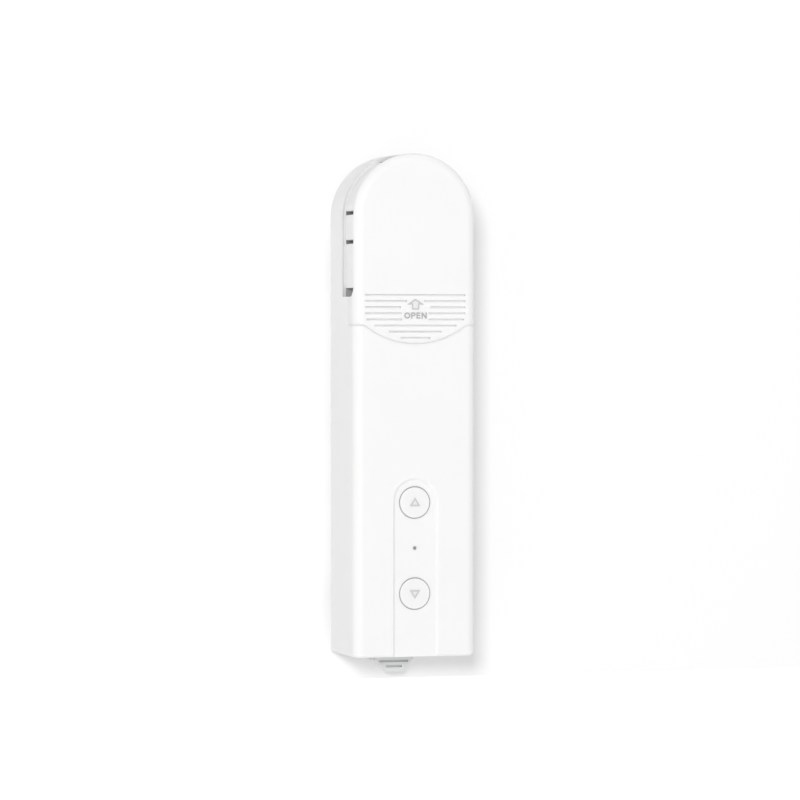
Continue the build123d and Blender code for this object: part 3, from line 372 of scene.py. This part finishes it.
def ink(name, base):
    """Matt printing ink with a faint stipple."""
    nodes = Nodes(name)
    where = nodes.place()
    stipple = nodes.noise(where, STIPPLE, 2.0)
    nodes.tint(nodes.ramp(stipple, 0.0, 1.0), base, 0.04)
    nodes.link(nodes.ramp(stipple, 0.5, 0.65), nodes.shader.inputs["Roughness"])
    nodes.link(nodes.bump(stipple, 0.002 * MM, 0.4), nodes.shader.inputs["Normal"])
    return nodes.material


def sleeve(name, base):
    """Glossy shrink sleeve of a cell, with faint drawing lines along its length."""
    nodes = Nodes(name)
    where = nodes.place(scale=(1, 1, 0.08))
    lines = nodes.noise(where, SLEEVE_LINES, 3.0)
    nodes.tint(nodes.ramp(lines, 0.0, 1.0), base, 0.06)
    nodes.link(nodes.ramp(lines, 0.22, 0.34), nodes.shader.inputs["Roughness"])
    nodes.link(nodes.bump(lines, 0.006 * MM, 0.4), nodes.shader.inputs["Normal"])
    nodes.set(Coat_Weight=0.3)
    return nodes.material


def solder_mask(name, base):
    """Green lacquer over copper tracks, which stand a little proud of the board."""
    nodes = Nodes(name)
    where = nodes.place(scale=(1, 1, 0.35))
    tracks = nodes.add("ShaderNodeTexVoronoi", feature="DISTANCE_TO_EDGE", distance="CHEBYCHEV")
    tracks.inputs["Scale"].default_value = TRACKS
    nodes.link(where, tracks.inputs["Vector"])
    edge = nodes.add("ShaderNodeMapRange")
    edge.inputs["From Min"].default_value = 0.08
    edge.inputs["From Max"].default_value = 0.14
    nodes.link(tracks.outputs["Distance"], edge.inputs["Value"])
    nodes.tint(edge.outputs["Result"], base, 0.25)
    nodes.link(nodes.ramp(edge.outputs["Result"], 0.3, 0.4), nodes.shader.inputs["Roughness"])
    nodes.link(nodes.bump(edge.outputs["Result"], 0.03 * MM, 0.5), nodes.shader.inputs["Normal"])
    return nodes.material


def finish_for(slot):
    """The material of one of the record's slots."""
    shell = bpy.context.scene.shell_settings
    steel = (0.62, 0.63, 0.65)
    makers = {
        "shell_white": lambda: moulded("shell white", shell.shell, 0.42, milky=0.6),
        "button_white": lambda: moulded("button white", shell.button, 0.38, grain_height=0.002 * MM, milky=0.6),
        "bracket_white": lambda: moulded("bracket white", shell.bracket, 0.5),
        "wheel_grey": lambda: moulded("wheel grey", shell.wheel, 0.45, spread=0.05),
        "gear_cream": lambda: moulded("gear cream", (0.8, 0.76, 0.64), 0.4),
        "black_plastic": lambda: moulded("black plastic", (0.03, 0.03, 0.033), 0.5, spread=0.08),
        "switch_black": lambda: moulded("switch black", (0.04, 0.04, 0.043), 0.4, spread=0.08),
        "plug_cream": lambda: moulded("plug cream", (0.8, 0.77, 0.68), 0.42),
        "light_clear": lambda: moulded("light pipe smoke", shell.light, 0.25, grain_height=0.001 * MM),
        "pin_steel": lambda: metal("ground steel", steel, 0.25, (1, 0.06, 1)),
        "shield_steel": lambda: metal("plated sheet", (0.72, 0.73, 0.74), 0.3, (1, 1, 0.1)),
        "motor_steel": lambda: metal("drawn can", (0.6, 0.61, 0.62), 0.32, (1, 0.05, 1)),
        "brass": lambda: metal("turned brass", (0.78, 0.6, 0.3), 0.28, (0.1, 1, 0.1)),
        "cell_wrap": lambda: sleeve("cell sleeve", (0.1, 0.28, 0.52)),
        "board_green": lambda: solder_mask("solder mask", (0.03, 0.2, 0.1)),
    }
    return makers[slot]()


# Mesh helpers

def mesh_object(name, mesh, material):
    """A mesh as an object at the origin, with one material."""
    thing = bpy.data.objects.new(name, mesh)
    bpy.context.scene.collection.objects.link(thing)
    mesh.materials.clear()
    mesh.materials.append(material)
    return thing


def from_bmesh(name, form, material):
    """Write a bmesh to a new object, with its normals outwards."""
    bmesh.ops.recalc_face_normals(form, faces=form.faces)
    mesh = bpy.data.meshes.new(name)
    form.to_mesh(mesh)
    form.free()
    return mesh_object(name, mesh, material)


def raised(form, faces, thickness):
    """Turn flat faces that look forward into slips, bedded a little behind their plane and proud of it."""
    result = bmesh.ops.extrude_face_region(form, geom=faces)
    moved = [v for v in result["geom"] if isinstance(v, bmesh.types.BMVert)]
    bmesh.ops.translate(form, verts=moved, vec=(0, -thickness - BEDDING, 0))
    bmesh.ops.translate(form, verts=form.verts, vec=(0, BEDDING, 0))


def cut_off(form, place, away):
    """Take off all of a form that lies beyond a plane."""
    geom = list(form.verts) + list(form.edges) + list(form.faces)
    bmesh.ops.bisect_plane(form, geom=geom, dist=CUT_DISTANCE, plane_co=place, plane_no=away, clear_outer=True)


def button_face(name):
    """Middle of a button's face."""
    low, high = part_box(f"{name}_button")
    return Vector(((low.x + high.x) / 2, low.y, (low.z + high.z) / 2))


def flat_outline(points, y):
    """A form of one face through points of (x, z) at a depth."""
    form = bmesh.new()
    form.faces.new([form.verts.new((x, y, z)) for x, z in points])
    return form


def keep_outline(form, width):
    """Leave only a line of a width along the rim of a form's one face."""
    face = list(form.faces)[0]
    face.normal_update()
    bmesh.ops.inset_region(form, faces=[face], thickness=width, use_even_offset=True, use_boundary=True)
    form.faces.remove(face)


def handle(angle):
    """Length of a Bezier handle that makes an arc of an angle, in radii."""
    return 4 / 3 * tan(angle / 4)


def arc(x, z, wide, high, start, end, steps):
    """Points of (x, z) along a part of an ellipse, from one angle to another."""
    angles = [radians(start + (end - start) * step / steps) for step in range(steps + 1)]
    return [(x + wide * cos(angle), z + high * sin(angle)) for angle in angles]


def letter_loops(stroke=0.42, top=1.9):
    """Outlines of O, P, E and N, from their lower left corner, in units of about a millimetre."""
    bar = stroke * 0.9
    low, high, shorter = 0.74, 1.14, 0.08
    crotch, lean = 1.22, 0.04
    o_half, bowl = 0.97, (top - low) / 2
    p_left, e_left, n_left, n_right = 2.2, 3.92, 5.55, 7.26
    middle, p_turn = low + bowl, p_left + 0.86
    outer_o = arc(o_half, top / 2, o_half, top / 2, 0, 350, 35)
    inner_o = arc(o_half, top / 2, o_half - stroke, top / 2 - bar, 0, 350, 35)
    outer_p = [(p_left, 0), (p_left + stroke, 0), (p_left + stroke, low)]
    outer_p += arc(p_turn, middle, bowl, bowl, -90, 90, 16) + [(p_left, top)]
    inner_p = arc(p_turn, middle, bowl - bar, bowl - bar, -90, 90, 12)
    inner_p = [(p_left + stroke, low + bar)] + inner_p + [(p_left + stroke, top - bar)]
    stem, end = e_left + stroke, e_left + 1.32
    inner = end - shorter
    letter_e = [(e_left, 0), (end, 0), (end, bar), (stem, bar), (stem, high - bar), (inner, high - bar),
                (inner, high), (stem, high), (stem, top - bar), (end, top - bar), (end, top), (e_left, top)]
    near, far = n_left + stroke, n_right - stroke
    letter_n = [(n_left, 0), (near, 0), (near, crotch), (far - lean, 0), (n_right, 0), (n_right, top),
                (far, top), (far, top - crotch), (near + lean, top), (n_left, top)]
    return outer_o, inner_o, outer_p, inner_p, letter_e, letter_n


# Operators

class MOTOR_OT_finishes(bpy.types.Operator):
    """Give every CAD part the finish of its material slot."""

    bl_idname = "motor.finishes"
    bl_label = "Finishes of the parts"

    def execute(self, context):
        finishes = {}
        for part in frame["record"]["subparts"]:
            slot = part["material_slot"]
            if slot not in finishes:
                finishes[slot] = finish_for(slot)
            node = frame["nodes"][part["node"]]
            if not node.material_slots:
                raise RuntimeError(f"{node.name} has no material slot")
            for holder in node.material_slots:
                holder.material = finishes[slot]
        return {"FINISHED"}


class MOTOR_OT_open_marks(bpy.types.Operator):
    """Print the arrow and the word OPEN on the chain cover."""

    bl_idname = "motor.open_marks"
    bl_label = "Marks on the cover"

    def execute(self, context):
        marks = context.scene.mark_settings
        grey = ink("cover ink", marks.ink)
        pale = ink("pale cover ink", marks.pale_ink)
        self.arrow(marks, "open_arrow", marks.thickness / 2, pale)
        self.arrow(marks, "open_arrow_line", marks.thickness, grey, marks.arrow_line)
        self.word(marks, ink("word ink", marks.word_ink))
        return {"FINISHED"}

    def arrow(self, marks, title, thickness, paint, line=None):
        """An arrow that points up, whole or as an outline."""
        half = marks.arrow_width / 2
        stem = marks.stem_width / 2
        top = BOTTOM_FACE + marks.arrow_top
        neck = top - marks.head_height
        foot = neck - marks.stem_height
        points = [(0, top), (half, neck), (stem, neck), (stem, foot), (-stem, foot), (-stem, neck),
                  (-half, neck)]
        form = flat_outline(points, FRONT_FACE)
        if line:
            keep_outline(form, line)
        raised(form, list(form.faces), thickness)
        piece = from_bmesh(title, form, paint)
        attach(piece, "cover")

    def word(self, marks, paint):
        """The word under the arrow."""
        loops = letter_loops()
        reach = [max(point[axis] for loop in loops for point in loop) for axis in (0, 1)]
        wide, high = marks.word_width / reach[0], marks.word_height / reach[1]
        low = BOTTOM_FACE + marks.word_middle - marks.word_height / 2
        form = bmesh.new()
        for loop in loops:
            ring = [form.verts.new(((x - reach[0] / 2) * wide, FRONT_FACE, low + z * high)) for x, z in loop]
            for first, second in zip(ring, ring[1:] + ring[:1]):
                form.edges.new((first, second))
        bmesh.ops.triangle_fill(form, use_beauty=True, edges=list(form.edges), normal=(0, -1, 0))
        raised(form, list(form.faces), marks.thickness)
        piece = from_bmesh("open_word", form, paint)
        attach(piece, "cover")


class MOTOR_OT_button_marks(bpy.types.Operator):
    """Print a triangle on each button, one up and one down."""

    bl_idname = "motor.button_marks"
    bl_label = "Triangles on the buttons"

    def execute(self, context):
        marks = context.scene.mark_settings
        pale = ink("pale button ink", marks.pale_ink)
        grey = ink("button ink", marks.button_ink)
        for name, turn in (("up", 1), ("down", -1)):
            self.stamp(marks, name, turn, f"{name}_triangle", marks.thickness / 2, pale)
            self.stamp(marks, name, turn, f"{name}_triangle_line", marks.thickness, grey, marks.triangle_line)
        return {"FINISHED"}

    def stamp(self, marks, name, turn, title, thickness, paint, line=None):
        """A button's triangle, whole or as an outline, that points up or down."""
        middle = button_face(name)
        x, z = middle.x, middle.z + turn * marks.triangle_rise
        half = marks.triangle_width / 2
        rise = turn * marks.triangle_height / 2
        form = flat_outline([(x - half, z - rise), (x + half, z - rise), (x, z + rise)], middle.y)
        if line:
            keep_outline(form, line)
        raised(form, list(form.faces), thickness)
        piece = from_bmesh(title, form, paint)
        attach(piece, f"{name}_key")


class MOTOR_OT_dome_shade_strip(bpy.types.Operator):
    """Lay a thin pale strip of painted shade on the ledge behind the band of the dome, with a darker painted
    shadow line along it.
    """

    bl_idname = "motor.dome_seal"
    bl_label = "Seal of the dome"

    def execute(self, context):
        trim = context.scene.trim_settings
        shell = context.scene.shell_settings
        # Painted shade: a pale strip on the ledge and a darker shadow line that fades to the strip's colour
        # towards the top of the dome.
        pale = moulded("soft shade_strip", shell.seal, 0.7)
        dark = painted_shade_fade("shade_strip line", shell.shade_strip_line, shell.seal, DOME_CENTRE, HOUSING_HIGH.z)
        self.arch(trim, "dome_seal", trim.shade_strip_inset, trim.shade_strip_width, trim.shade_strip_height, pale)
        self.arch(trim, "dome_shade_strip_line", trim.line_inset, trim.line_width, trim.line_height, dark)
        return {"FINISHED"}

    def arch(self, trim, title, inset, width, height, shade_finish):
        """A flat strip up one side, round the dome and down the other side."""
        outer = HALF_WIDTH - inset
        form = bmesh.new()
        for radius in (outer, outer - width):
            bmesh.ops.create_circle(form, radius=radius, segments=trim.segments)
        bmesh.ops.bridge_loops(form, edges=list(form.edges))
        bmesh.ops.rotate(form, verts=form.verts, matrix=Matrix.Rotation(radians(90), 3, "X"))
        cut_off(form, (0, 0, 0), (0, 0, -1))
        ends = [e for e in form.edges if e.is_boundary and all(abs(v.co.z) < BEDDING for v in e.verts)]
        legs = bmesh.ops.extrude_edge_only(form, edges=ends)
        lower = [v for v in legs["geom"] if isinstance(v, bmesh.types.BMVert)]
        foot = BOTTOM_FACE + trim.shade_strip_low - DOME_CENTRE
        bmesh.ops.translate(form, verts=lower, vec=(0, 0, foot))
        bmesh.ops.translate(form, verts=form.verts, vec=(0, FRONT_FACE + trim.shade_strip_depth, DOME_CENTRE))
        raised(form, list(form.faces), height)
        piece = from_bmesh(title, form, shade_finish)
        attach(piece, "unit")


class MOTOR_OT_seam_shade_strips(bpy.types.Operator):
    """Set a thin strip of painted shade in the seam under the cover and in the gap round each button."""

    bl_idname = "motor.seam_seals"
    bl_label = "Seals of the seams"

    def execute(self, context):
        trim = context.scene.trim_settings
        shell = context.scene.shell_settings
        # Painted shade: the pale cord in the seam's gap.
        self.cord(trim, moulded("seam shade_strip", shell.seam_shade_strip, 0.7))
        # Painted shade: grey rings in the gaps round the buttons.
        shade_finish = moulded("button shade_strip", shell.button_shade_strip, 0.7)
        for name in ("up", "down"):
            self.ring(trim, name, shade_finish)
        return {"FINISHED"}

    def cord(self, trim, shade_finish):
        """Cord along the lobe of the cover's seam, round the front's edges and back along the sides."""
        level = trim.seam_level - trim.lobe_centre
        blend_low = level - trim.lobe_blend
        reach = trim.lobe_radius + trim.lobe_blend
        blend_side = sqrt(reach ** 2 - blend_low ** 2)
        angle = asin(blend_side / reach)
        lobe_side, lobe_high = blend_side / reach * trim.lobe_radius, blend_low / reach * trim.lobe_radius
        side, bend = HALF_WIDTH - trim.cord_depth, trim.edge_round - trim.cord_depth
        tilt = asin((blend_side - HALF_WIDTH + trim.edge_round) / bend)
        lobe, blend = handle(angle) * trim.lobe_radius, handle(angle) * trim.lobe_blend
        corner = handle(radians(90) - tilt) * bend
        rear = trim.cheek_depth - trim.cord_depth
        leg = (rear - bend) / 3
        right = [((lobe_side, 0, lobe_high), (cos(angle), 0, sin(angle)), lobe, blend),
                 ((blend_side, bend - bend * cos(tilt), level), (cos(tilt), sin(tilt), 0), blend, corner),
                 ((side, bend, level), (0, 1, 0), corner, leg), ((side, rear, level), (0, 1, 0), leg, leg)]
        left = [((-x, y, z), (ahead, -back, -up), after, before)
                for (x, y, z), (ahead, back, up), before, after in reversed(right)]
        knots = left + [((0, 0, -trim.lobe_radius), (1, 0, 0), lobe, lobe)] + right
        line = bpy.data.curves.new("cover_shade_strip", "CURVE")
        line.dimensions = "3D"
        line.resolution_u = 24
        line.bevel_depth = trim.cord_radius
        line.bevel_resolution = 3
        line.use_fill_caps = True
        spline = line.splines.new("BEZIER")
        spline.bezier_points.add(len(knots) - 1)
        place = Vector((0, FRONT_FACE + trim.cord_depth, BOTTOM_FACE + trim.lobe_centre))
        for point, (spot, ahead, before, after) in zip(spline.bezier_points, knots):
            point.co = place + Vector(spot)
            point.handle_left = point.co - Vector(ahead) * before
            point.handle_right = point.co + Vector(ahead) * after
        thing = bpy.data.objects.new("cover_shade_strip_line", line)
        bpy.context.scene.collection.objects.link(thing)
        bpy.context.view_layer.update()
        mesh = bpy.data.meshes.new_from_object(thing)
        bpy.data.objects.remove(thing)
        piece = mesh_object("cover_shade_strip", mesh, shade_finish)
        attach(piece, "unit")

    def ring(self, trim, name, shade_finish):
        """Ring of painted shade in the gap round a button."""
        form = bmesh.new()
        bmesh.ops.create_circle(form, radius=trim.ring_thick, segments=trim.ring_sides)
        bmesh.ops.translate(form, verts=form.verts, vec=(trim.ring_radius, 0, 0))
        bmesh.ops.spin(form, geom=list(form.verts) + list(form.edges), cent=(0, 0, 0), axis=(0, 1, 0),
                       angle=radians(360), steps=trim.segments // 2, use_merge=True)
        bmesh.ops.translate(form, verts=form.verts, vec=button_face(name) + Vector((0, trim.ring_depth, 0)))
        piece = from_bmesh(f"{name}_button_shade_strip", form, shade_finish)
        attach(piece, "unit")


class MOTOR_OT_slot_shade_sheets(bpy.types.Operator):
    """Stand dark sheets of painted shade against the rear wall of every slot and window of the band, and of the
    open crest.
    """

    bl_idname = "motor.slot_linings"
    bl_label = "Linings of the slots"

    def execute(self, context):
        trim = context.scene.trim_settings
        shell = context.scene.shell_settings
        # Painted shade: dark sheets at the back of the slots, windows and crest.
        dark = painted_shade("slot painted_shade", shell.shade_sheet)
        window = painted_shade("window painted_shade", shell.window_shade_sheet)
        half = trim.slot_height / 2
        for number, middle in enumerate((trim.upper_slot, trim.lower_slot), 1):
            self.pair(trim, f"slot_lining_{number}", middle - half, trim.slot_height, trim.slot_depth, dark)
        self.pair(trim, "window_shade_sheet", trim.shade_strip_low, trim.window_height, trim.shade_strip_depth, window)
        self.crest(trim, dark)
        return {"FINISHED"}

    def crest(self, trim, shade_sheet):
        """A strip of painted shade with a round top, behind the open crest."""
        form = bmesh.new()
        bmesh.ops.create_circle(form, cap_ends=True, radius=trim.crest_radius, segments=trim.segments)
        bmesh.ops.rotate(form, verts=form.verts, matrix=Matrix.Rotation(radians(90), 3, "X"))
        for place, away in (((0, 0, trim.crest_foot), (0, 0, -1)), ((trim.crest_half, 0, 0), (1, 0, 0)),
                            ((-trim.crest_half, 0, 0), (-1, 0, 0))):
            cut_off(form, place, away)
        bmesh.ops.translate(form, verts=form.verts, vec=(0, FRONT_FACE + trim.shade_strip_depth, DOME_CENTRE))
        raised(form, list(form.faces), trim.shade_sheet_thick)
        piece = from_bmesh("crest_shade_sheet", form, shade_sheet)
        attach(piece, "unit")

    def pair(self, trim, title, low, height, depth, shade_sheet):
        """A strip of painted shade on each side, bedded in the rear wall."""
        for side, word in ((-1, "left"), (1, "right")):
            form = bmesh.new()
            bmesh.ops.create_cube(form, size=1.0)
            size = (trim.shade_sheet_out - trim.shade_sheet_in, trim.shade_sheet_thick + BEDDING,
                    height - 2 * trim.shade_sheet_room)
            bmesh.ops.scale(form, vec=size, verts=form.verts)
            middle = (side * (trim.shade_sheet_out + trim.shade_sheet_in) / 2,
                      FRONT_FACE + depth + (BEDDING - trim.shade_sheet_thick) / 2, BOTTOM_FACE + low + height / 2)
            bmesh.ops.translate(form, verts=form.verts, vec=middle)
            bmesh.ops.bevel(form, geom=list(form.edges), offset=trim.shade_sheet_thick / 4, offset_type="OFFSET",
                            segments=2, profile=0.5, affect="EDGES", material=-1)
            piece = from_bmesh(f"{title}_{word}", form, shade_sheet)
            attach(piece, "unit")


class MOTOR_OT_screws(bpy.types.Operator):
    """Set a cross-recessed screw in each hole of the back cover."""

    bl_idname = "motor.screws"
    bl_label = "Screws of the back cover"

    def execute(self, context):
        screws = context.scene.screw_settings
        steel = metal("zinc screw", (0.66, 0.66, 0.66), 0.3, (1, 1, 1))
        lower, upper = screws.lower_level, screws.upper_level
        spots = [(side * screws.lower_side, lower) for side in (-1, 1)]
        spots += [(side * screws.upper_side, upper) for side in (-1, 1)]
        for number, (x, z) in enumerate(spots, 1):
            form = self.head(screws)
            turn = Matrix.Rotation(radians(-90), 4, "X") @ Matrix.Rotation(screws.turn * number, 4, "Z")
            bmesh.ops.transform(form, matrix=turn, verts=form.verts)
            place = (x, REAR_FACE - screws.sink, BOTTOM_FACE + z)
            bmesh.ops.translate(form, verts=form.verts, vec=place)
            piece = from_bmesh(f"cover_screw_{number}", form, steel)
            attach(piece, "unit")
        return {"FINISHED"}

    def head(self, screws):
        """A head that looks along +Z, with a softened rim and a cross recess."""
        form = bmesh.new()
        bmesh.ops.create_circle(form, cap_ends=True, radius=screws.head_radius, segments=screws.segments)
        bmesh.ops.recalc_face_normals(form, faces=form.faces)
        grown = bmesh.ops.extrude_face_region(form, geom=list(form.faces))
        lower = [v for v in grown["geom"] if isinstance(v, bmesh.types.BMVert)]
        bmesh.ops.translate(form, verts=lower, vec=(0, 0, -screws.head_height))
        rim = [e for e in form.edges if all(v.co.z > -BEDDING for v in e.verts)]
        bmesh.ops.bevel(form, geom=rim, offset=screws.rim_round, offset_type="OFFSET", segments=3,
                        profile=0.5, affect="EDGES", material=-1)
        half, wide = screws.slot_length / 2, screws.slot_width / 2
        for axis in ((1, 0, 0), (0, 1, 0)):
            for offset in (-half, -wide, wide, half):
                cut = [f for f in form.faces if f.normal.z > FACES_UP]
                geom = cut + list({e for f in cut for e in f.edges}) + list({v for f in cut for v in f.verts})
                bmesh.ops.bisect_plane(form, geom=geom, dist=CUT_DISTANCE, plane_co=Vector(axis) * offset,
                                       plane_no=axis)
        recess = [f for f in form.faces
                  if f.normal.z > FACES_UP and self.in_cross(f.calc_center_median(), half, wide)]
        sunk = bmesh.ops.extrude_face_region(form, geom=recess)
        bottom = [v for v in sunk["geom"] if isinstance(v, bmesh.types.BMVert)]
        bmesh.ops.translate(form, verts=bottom, vec=(0, 0, -screws.slot_depth))
        bmesh.ops.delete(form, geom=[f for f in recess if f.is_valid], context="FACES_ONLY")
        return form

    def in_cross(self, spot, half, wide):
        """True on the arms of the cross recess."""
        x, y = abs(spot.x), abs(spot.y)
        return (x < half and y < wide) or (y < half and x < wide)


class MOTOR_OT_studio(bpy.types.Operator):
    """Set up the wall, the floor, the lamps, the world and the camera."""

    bl_idname = "motor.studio"
    bl_label = "Studio"

    def execute(self, context):
        studio = context.scene.studio_settings
        square = [(side * studio.reach, up * studio.reach) for side, up in ((-1, -1), (1, -1), (1, 1), (-1, 1))]
        back, low = WALL_FACE + studio.wall_gap, studio.floor_height
        wall = self.sheet("studio_wall", [(x, back, z) for x, z in square],
                          self.paper("studio wall white", studio.wall_glow))
        floor = self.sheet("studio_floor", [(x, y, low) for x, y in square],
                           self.paper("studio floor white", studio.floor_glow))
        self.lamp("key_lamp", studio.key_place, studio.key_size, studio.key_power)
        self.lamp("rim_lamp", studio.rim_place, studio.rim_size, studio.rim_power)
        self.surroundings(studio)
        self.camera(studio)
        context.scene.view_settings.view_transform = "Standard"
        return {"FINISHED"}

    def sheet(self, name, points, material):
        """A large flat sheet."""
        form = bmesh.new()
        form.faces.new([form.verts.new(point) for point in points])
        mesh = bpy.data.meshes.new(name)
        form.to_mesh(mesh)
        form.free()
        return mesh_object(name, mesh, material)

    def paper(self, name, glow):
        """White paper that only the camera and reflections see, from its front, and that keeps shadows."""
        material = bpy.data.materials.new(name)
        material.use_nodes = True
        tree = material.node_tree
        tree.nodes.clear()
        output = tree.nodes.new("ShaderNodeOutputMaterial")
        path = tree.nodes.new("ShaderNodeLightPath")
        face = tree.nodes.new("ShaderNodeNewGeometry")
        shown = self.seen(tree, path)
        front = tree.nodes.new("ShaderNodeMath")
        front.operation = "SUBTRACT"
        front.use_clamp = True
        tree.links.new(shown, front.inputs[0])
        tree.links.new(face.outputs["Backfacing"], front.inputs[1])
        matt = tree.nodes.new("ShaderNodeBsdfDiffuse")
        matt.inputs["Color"].default_value = PAPER_WHITE
        shine = tree.nodes.new("ShaderNodeEmission")
        shine.inputs["Strength"].default_value = glow
        both = tree.nodes.new("ShaderNodeAddShader")
        clear = tree.nodes.new("ShaderNodeBsdfTransparent")
        mix = tree.nodes.new("ShaderNodeMixShader")
        tree.links.new(matt.outputs[0], both.inputs[0])
        tree.links.new(shine.outputs[0], both.inputs[1])
        tree.links.new(front.outputs[0], mix.inputs[0])
        tree.links.new(clear.outputs[0], mix.inputs[1])
        tree.links.new(both.outputs[0], mix.inputs[2])
        tree.links.new(mix.outputs[0], output.inputs["Surface"])
        return material

    def seen(self, tree, path):
        """1 for camera, glossy and transmission rays, and 0 for others."""
        total = path.outputs["Is Camera Ray"]
        for name in ("Is Glossy Ray", "Is Transmission Ray"):
            either = tree.nodes.new("ShaderNodeMath")
            either.operation = "MAXIMUM"
            tree.links.new(total, either.inputs[0])
            tree.links.new(path.outputs[name], either.inputs[1])
            total = either.outputs[0]
        return total

    def lamp(self, name, place, size, power):
        """A square softbox that looks at the object."""
        data = bpy.data.lights.new(name, "AREA")
        data.shape = "SQUARE"
        data.size = size
        data.energy = power
        lamp = bpy.data.objects.new(name, data)
        lamp.location = place
        lamp.rotation_euler = (-Vector(place)).to_track_quat("-Z", "Y").to_euler()
        bpy.context.scene.collection.objects.link(lamp)

    def surroundings(self, studio):
        """Soft light from all round, stronger from the left and below, that shows white to the camera."""
        world = bpy.data.worlds.new("studio_world")
        world.use_nodes = True
        tree = world.node_tree
        shine = tree.nodes["Background"]
        shine.inputs["Color"].default_value = (1, 1, 1, 1)
        where = tree.nodes.new("ShaderNodeTexCoord")
        slope = tree.nodes.new("ShaderNodeVectorMath")
        slope.operation = "DOT_PRODUCT"
        slope.inputs[1].default_value = studio.fill_slope
        tree.links.new(where.outputs["Generated"], slope.inputs[0])
        fill = tree.nodes.new("ShaderNodeMath")
        fill.inputs[1].default_value = studio.fill
        tree.links.new(slope.outputs["Value"], fill.inputs[0])
        path = tree.nodes.new("ShaderNodeLightPath")
        level = tree.nodes.new("ShaderNodeMapRange")
        level.inputs["To Max"].default_value = 1.0
        tree.links.new(fill.outputs["Value"], level.inputs["To Min"])
        tree.links.new(self.seen(tree, path), level.inputs["Value"])
        tree.links.new(level.outputs["Result"], shine.inputs["Strength"])
        bpy.context.scene.world = world

    def camera(self, studio):
        """The photograph's view."""
        data = bpy.data.cameras.new("photo_camera")
        data.lens = studio.lens
        data.sensor_width = SENSOR_WIDTH
        camera = bpy.data.objects.new("photo_camera", data)
        place = Vector(studio.camera_place)
        aim = Vector(studio.camera_aim)
        camera.location = place
        camera.rotation_euler = (aim - place).to_track_quat("-Z", "Y").to_euler()
        bpy.context.scene.collection.objects.link(camera)
        bpy.context.scene.camera = camera


STEPS = (MOTOR_OT_finishes, MOTOR_OT_open_marks, MOTOR_OT_button_marks, MOTOR_OT_dome_shade_strip, MOTOR_OT_seam_shade_strips,
         MOTOR_OT_slot_shade_sheets, MOTOR_OT_screws, MOTOR_OT_studio)
SETTINGS = {
    "shell_settings": ShellSettings,
    "mark_settings": MarkSettings,
    "trim_settings": TrimSettings,
    "screw_settings": ScrewSettings,
    "studio_settings": StudioSettings,
}


class MOTOR_PT_panel(bpy.types.Panel):
    """Sidebar panel with every step."""

    bl_label = "Roller shade motor"
    bl_idname = "MOTOR_PT_panel"
    bl_space_type = "VIEW_3D"
    bl_region_type = "UI"
    bl_category = "Shade Motor"

    def draw(self, context):
        for step in STEPS:
            self.layout.operator(step.bl_idname)
        for name, group in SETTINGS.items():
            box = self.layout.box()
            for key in group.__annotations__:
                box.prop(getattr(context.scene, name), key)


def register():
    """Register the settings, the operators and the panel."""
    for name, group in SETTINGS.items():
        bpy.utils.register_class(group)
        setattr(bpy.types.Scene, name, PointerProperty(type=group))
    for step in STEPS:
        bpy.utils.register_class(step)
    bpy.utils.register_class(MOTOR_PT_panel)


def unregister():
    """Take everything out again."""
    bpy.utils.unregister_class(MOTOR_PT_panel)
    for step in reversed(STEPS):
        bpy.utils.unregister_class(step)
    for name, group in SETTINGS.items():
        delattr(bpy.types.Scene, name)
        bpy.utils.unregister_class(group)


def main():
    """Run every step."""
    register()
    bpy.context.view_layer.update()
    for step in STEPS:
        group, name = step.bl_idname.split(".")
        getattr(getattr(bpy.ops, group), name)()


if __name__ == "__main__":
    main()
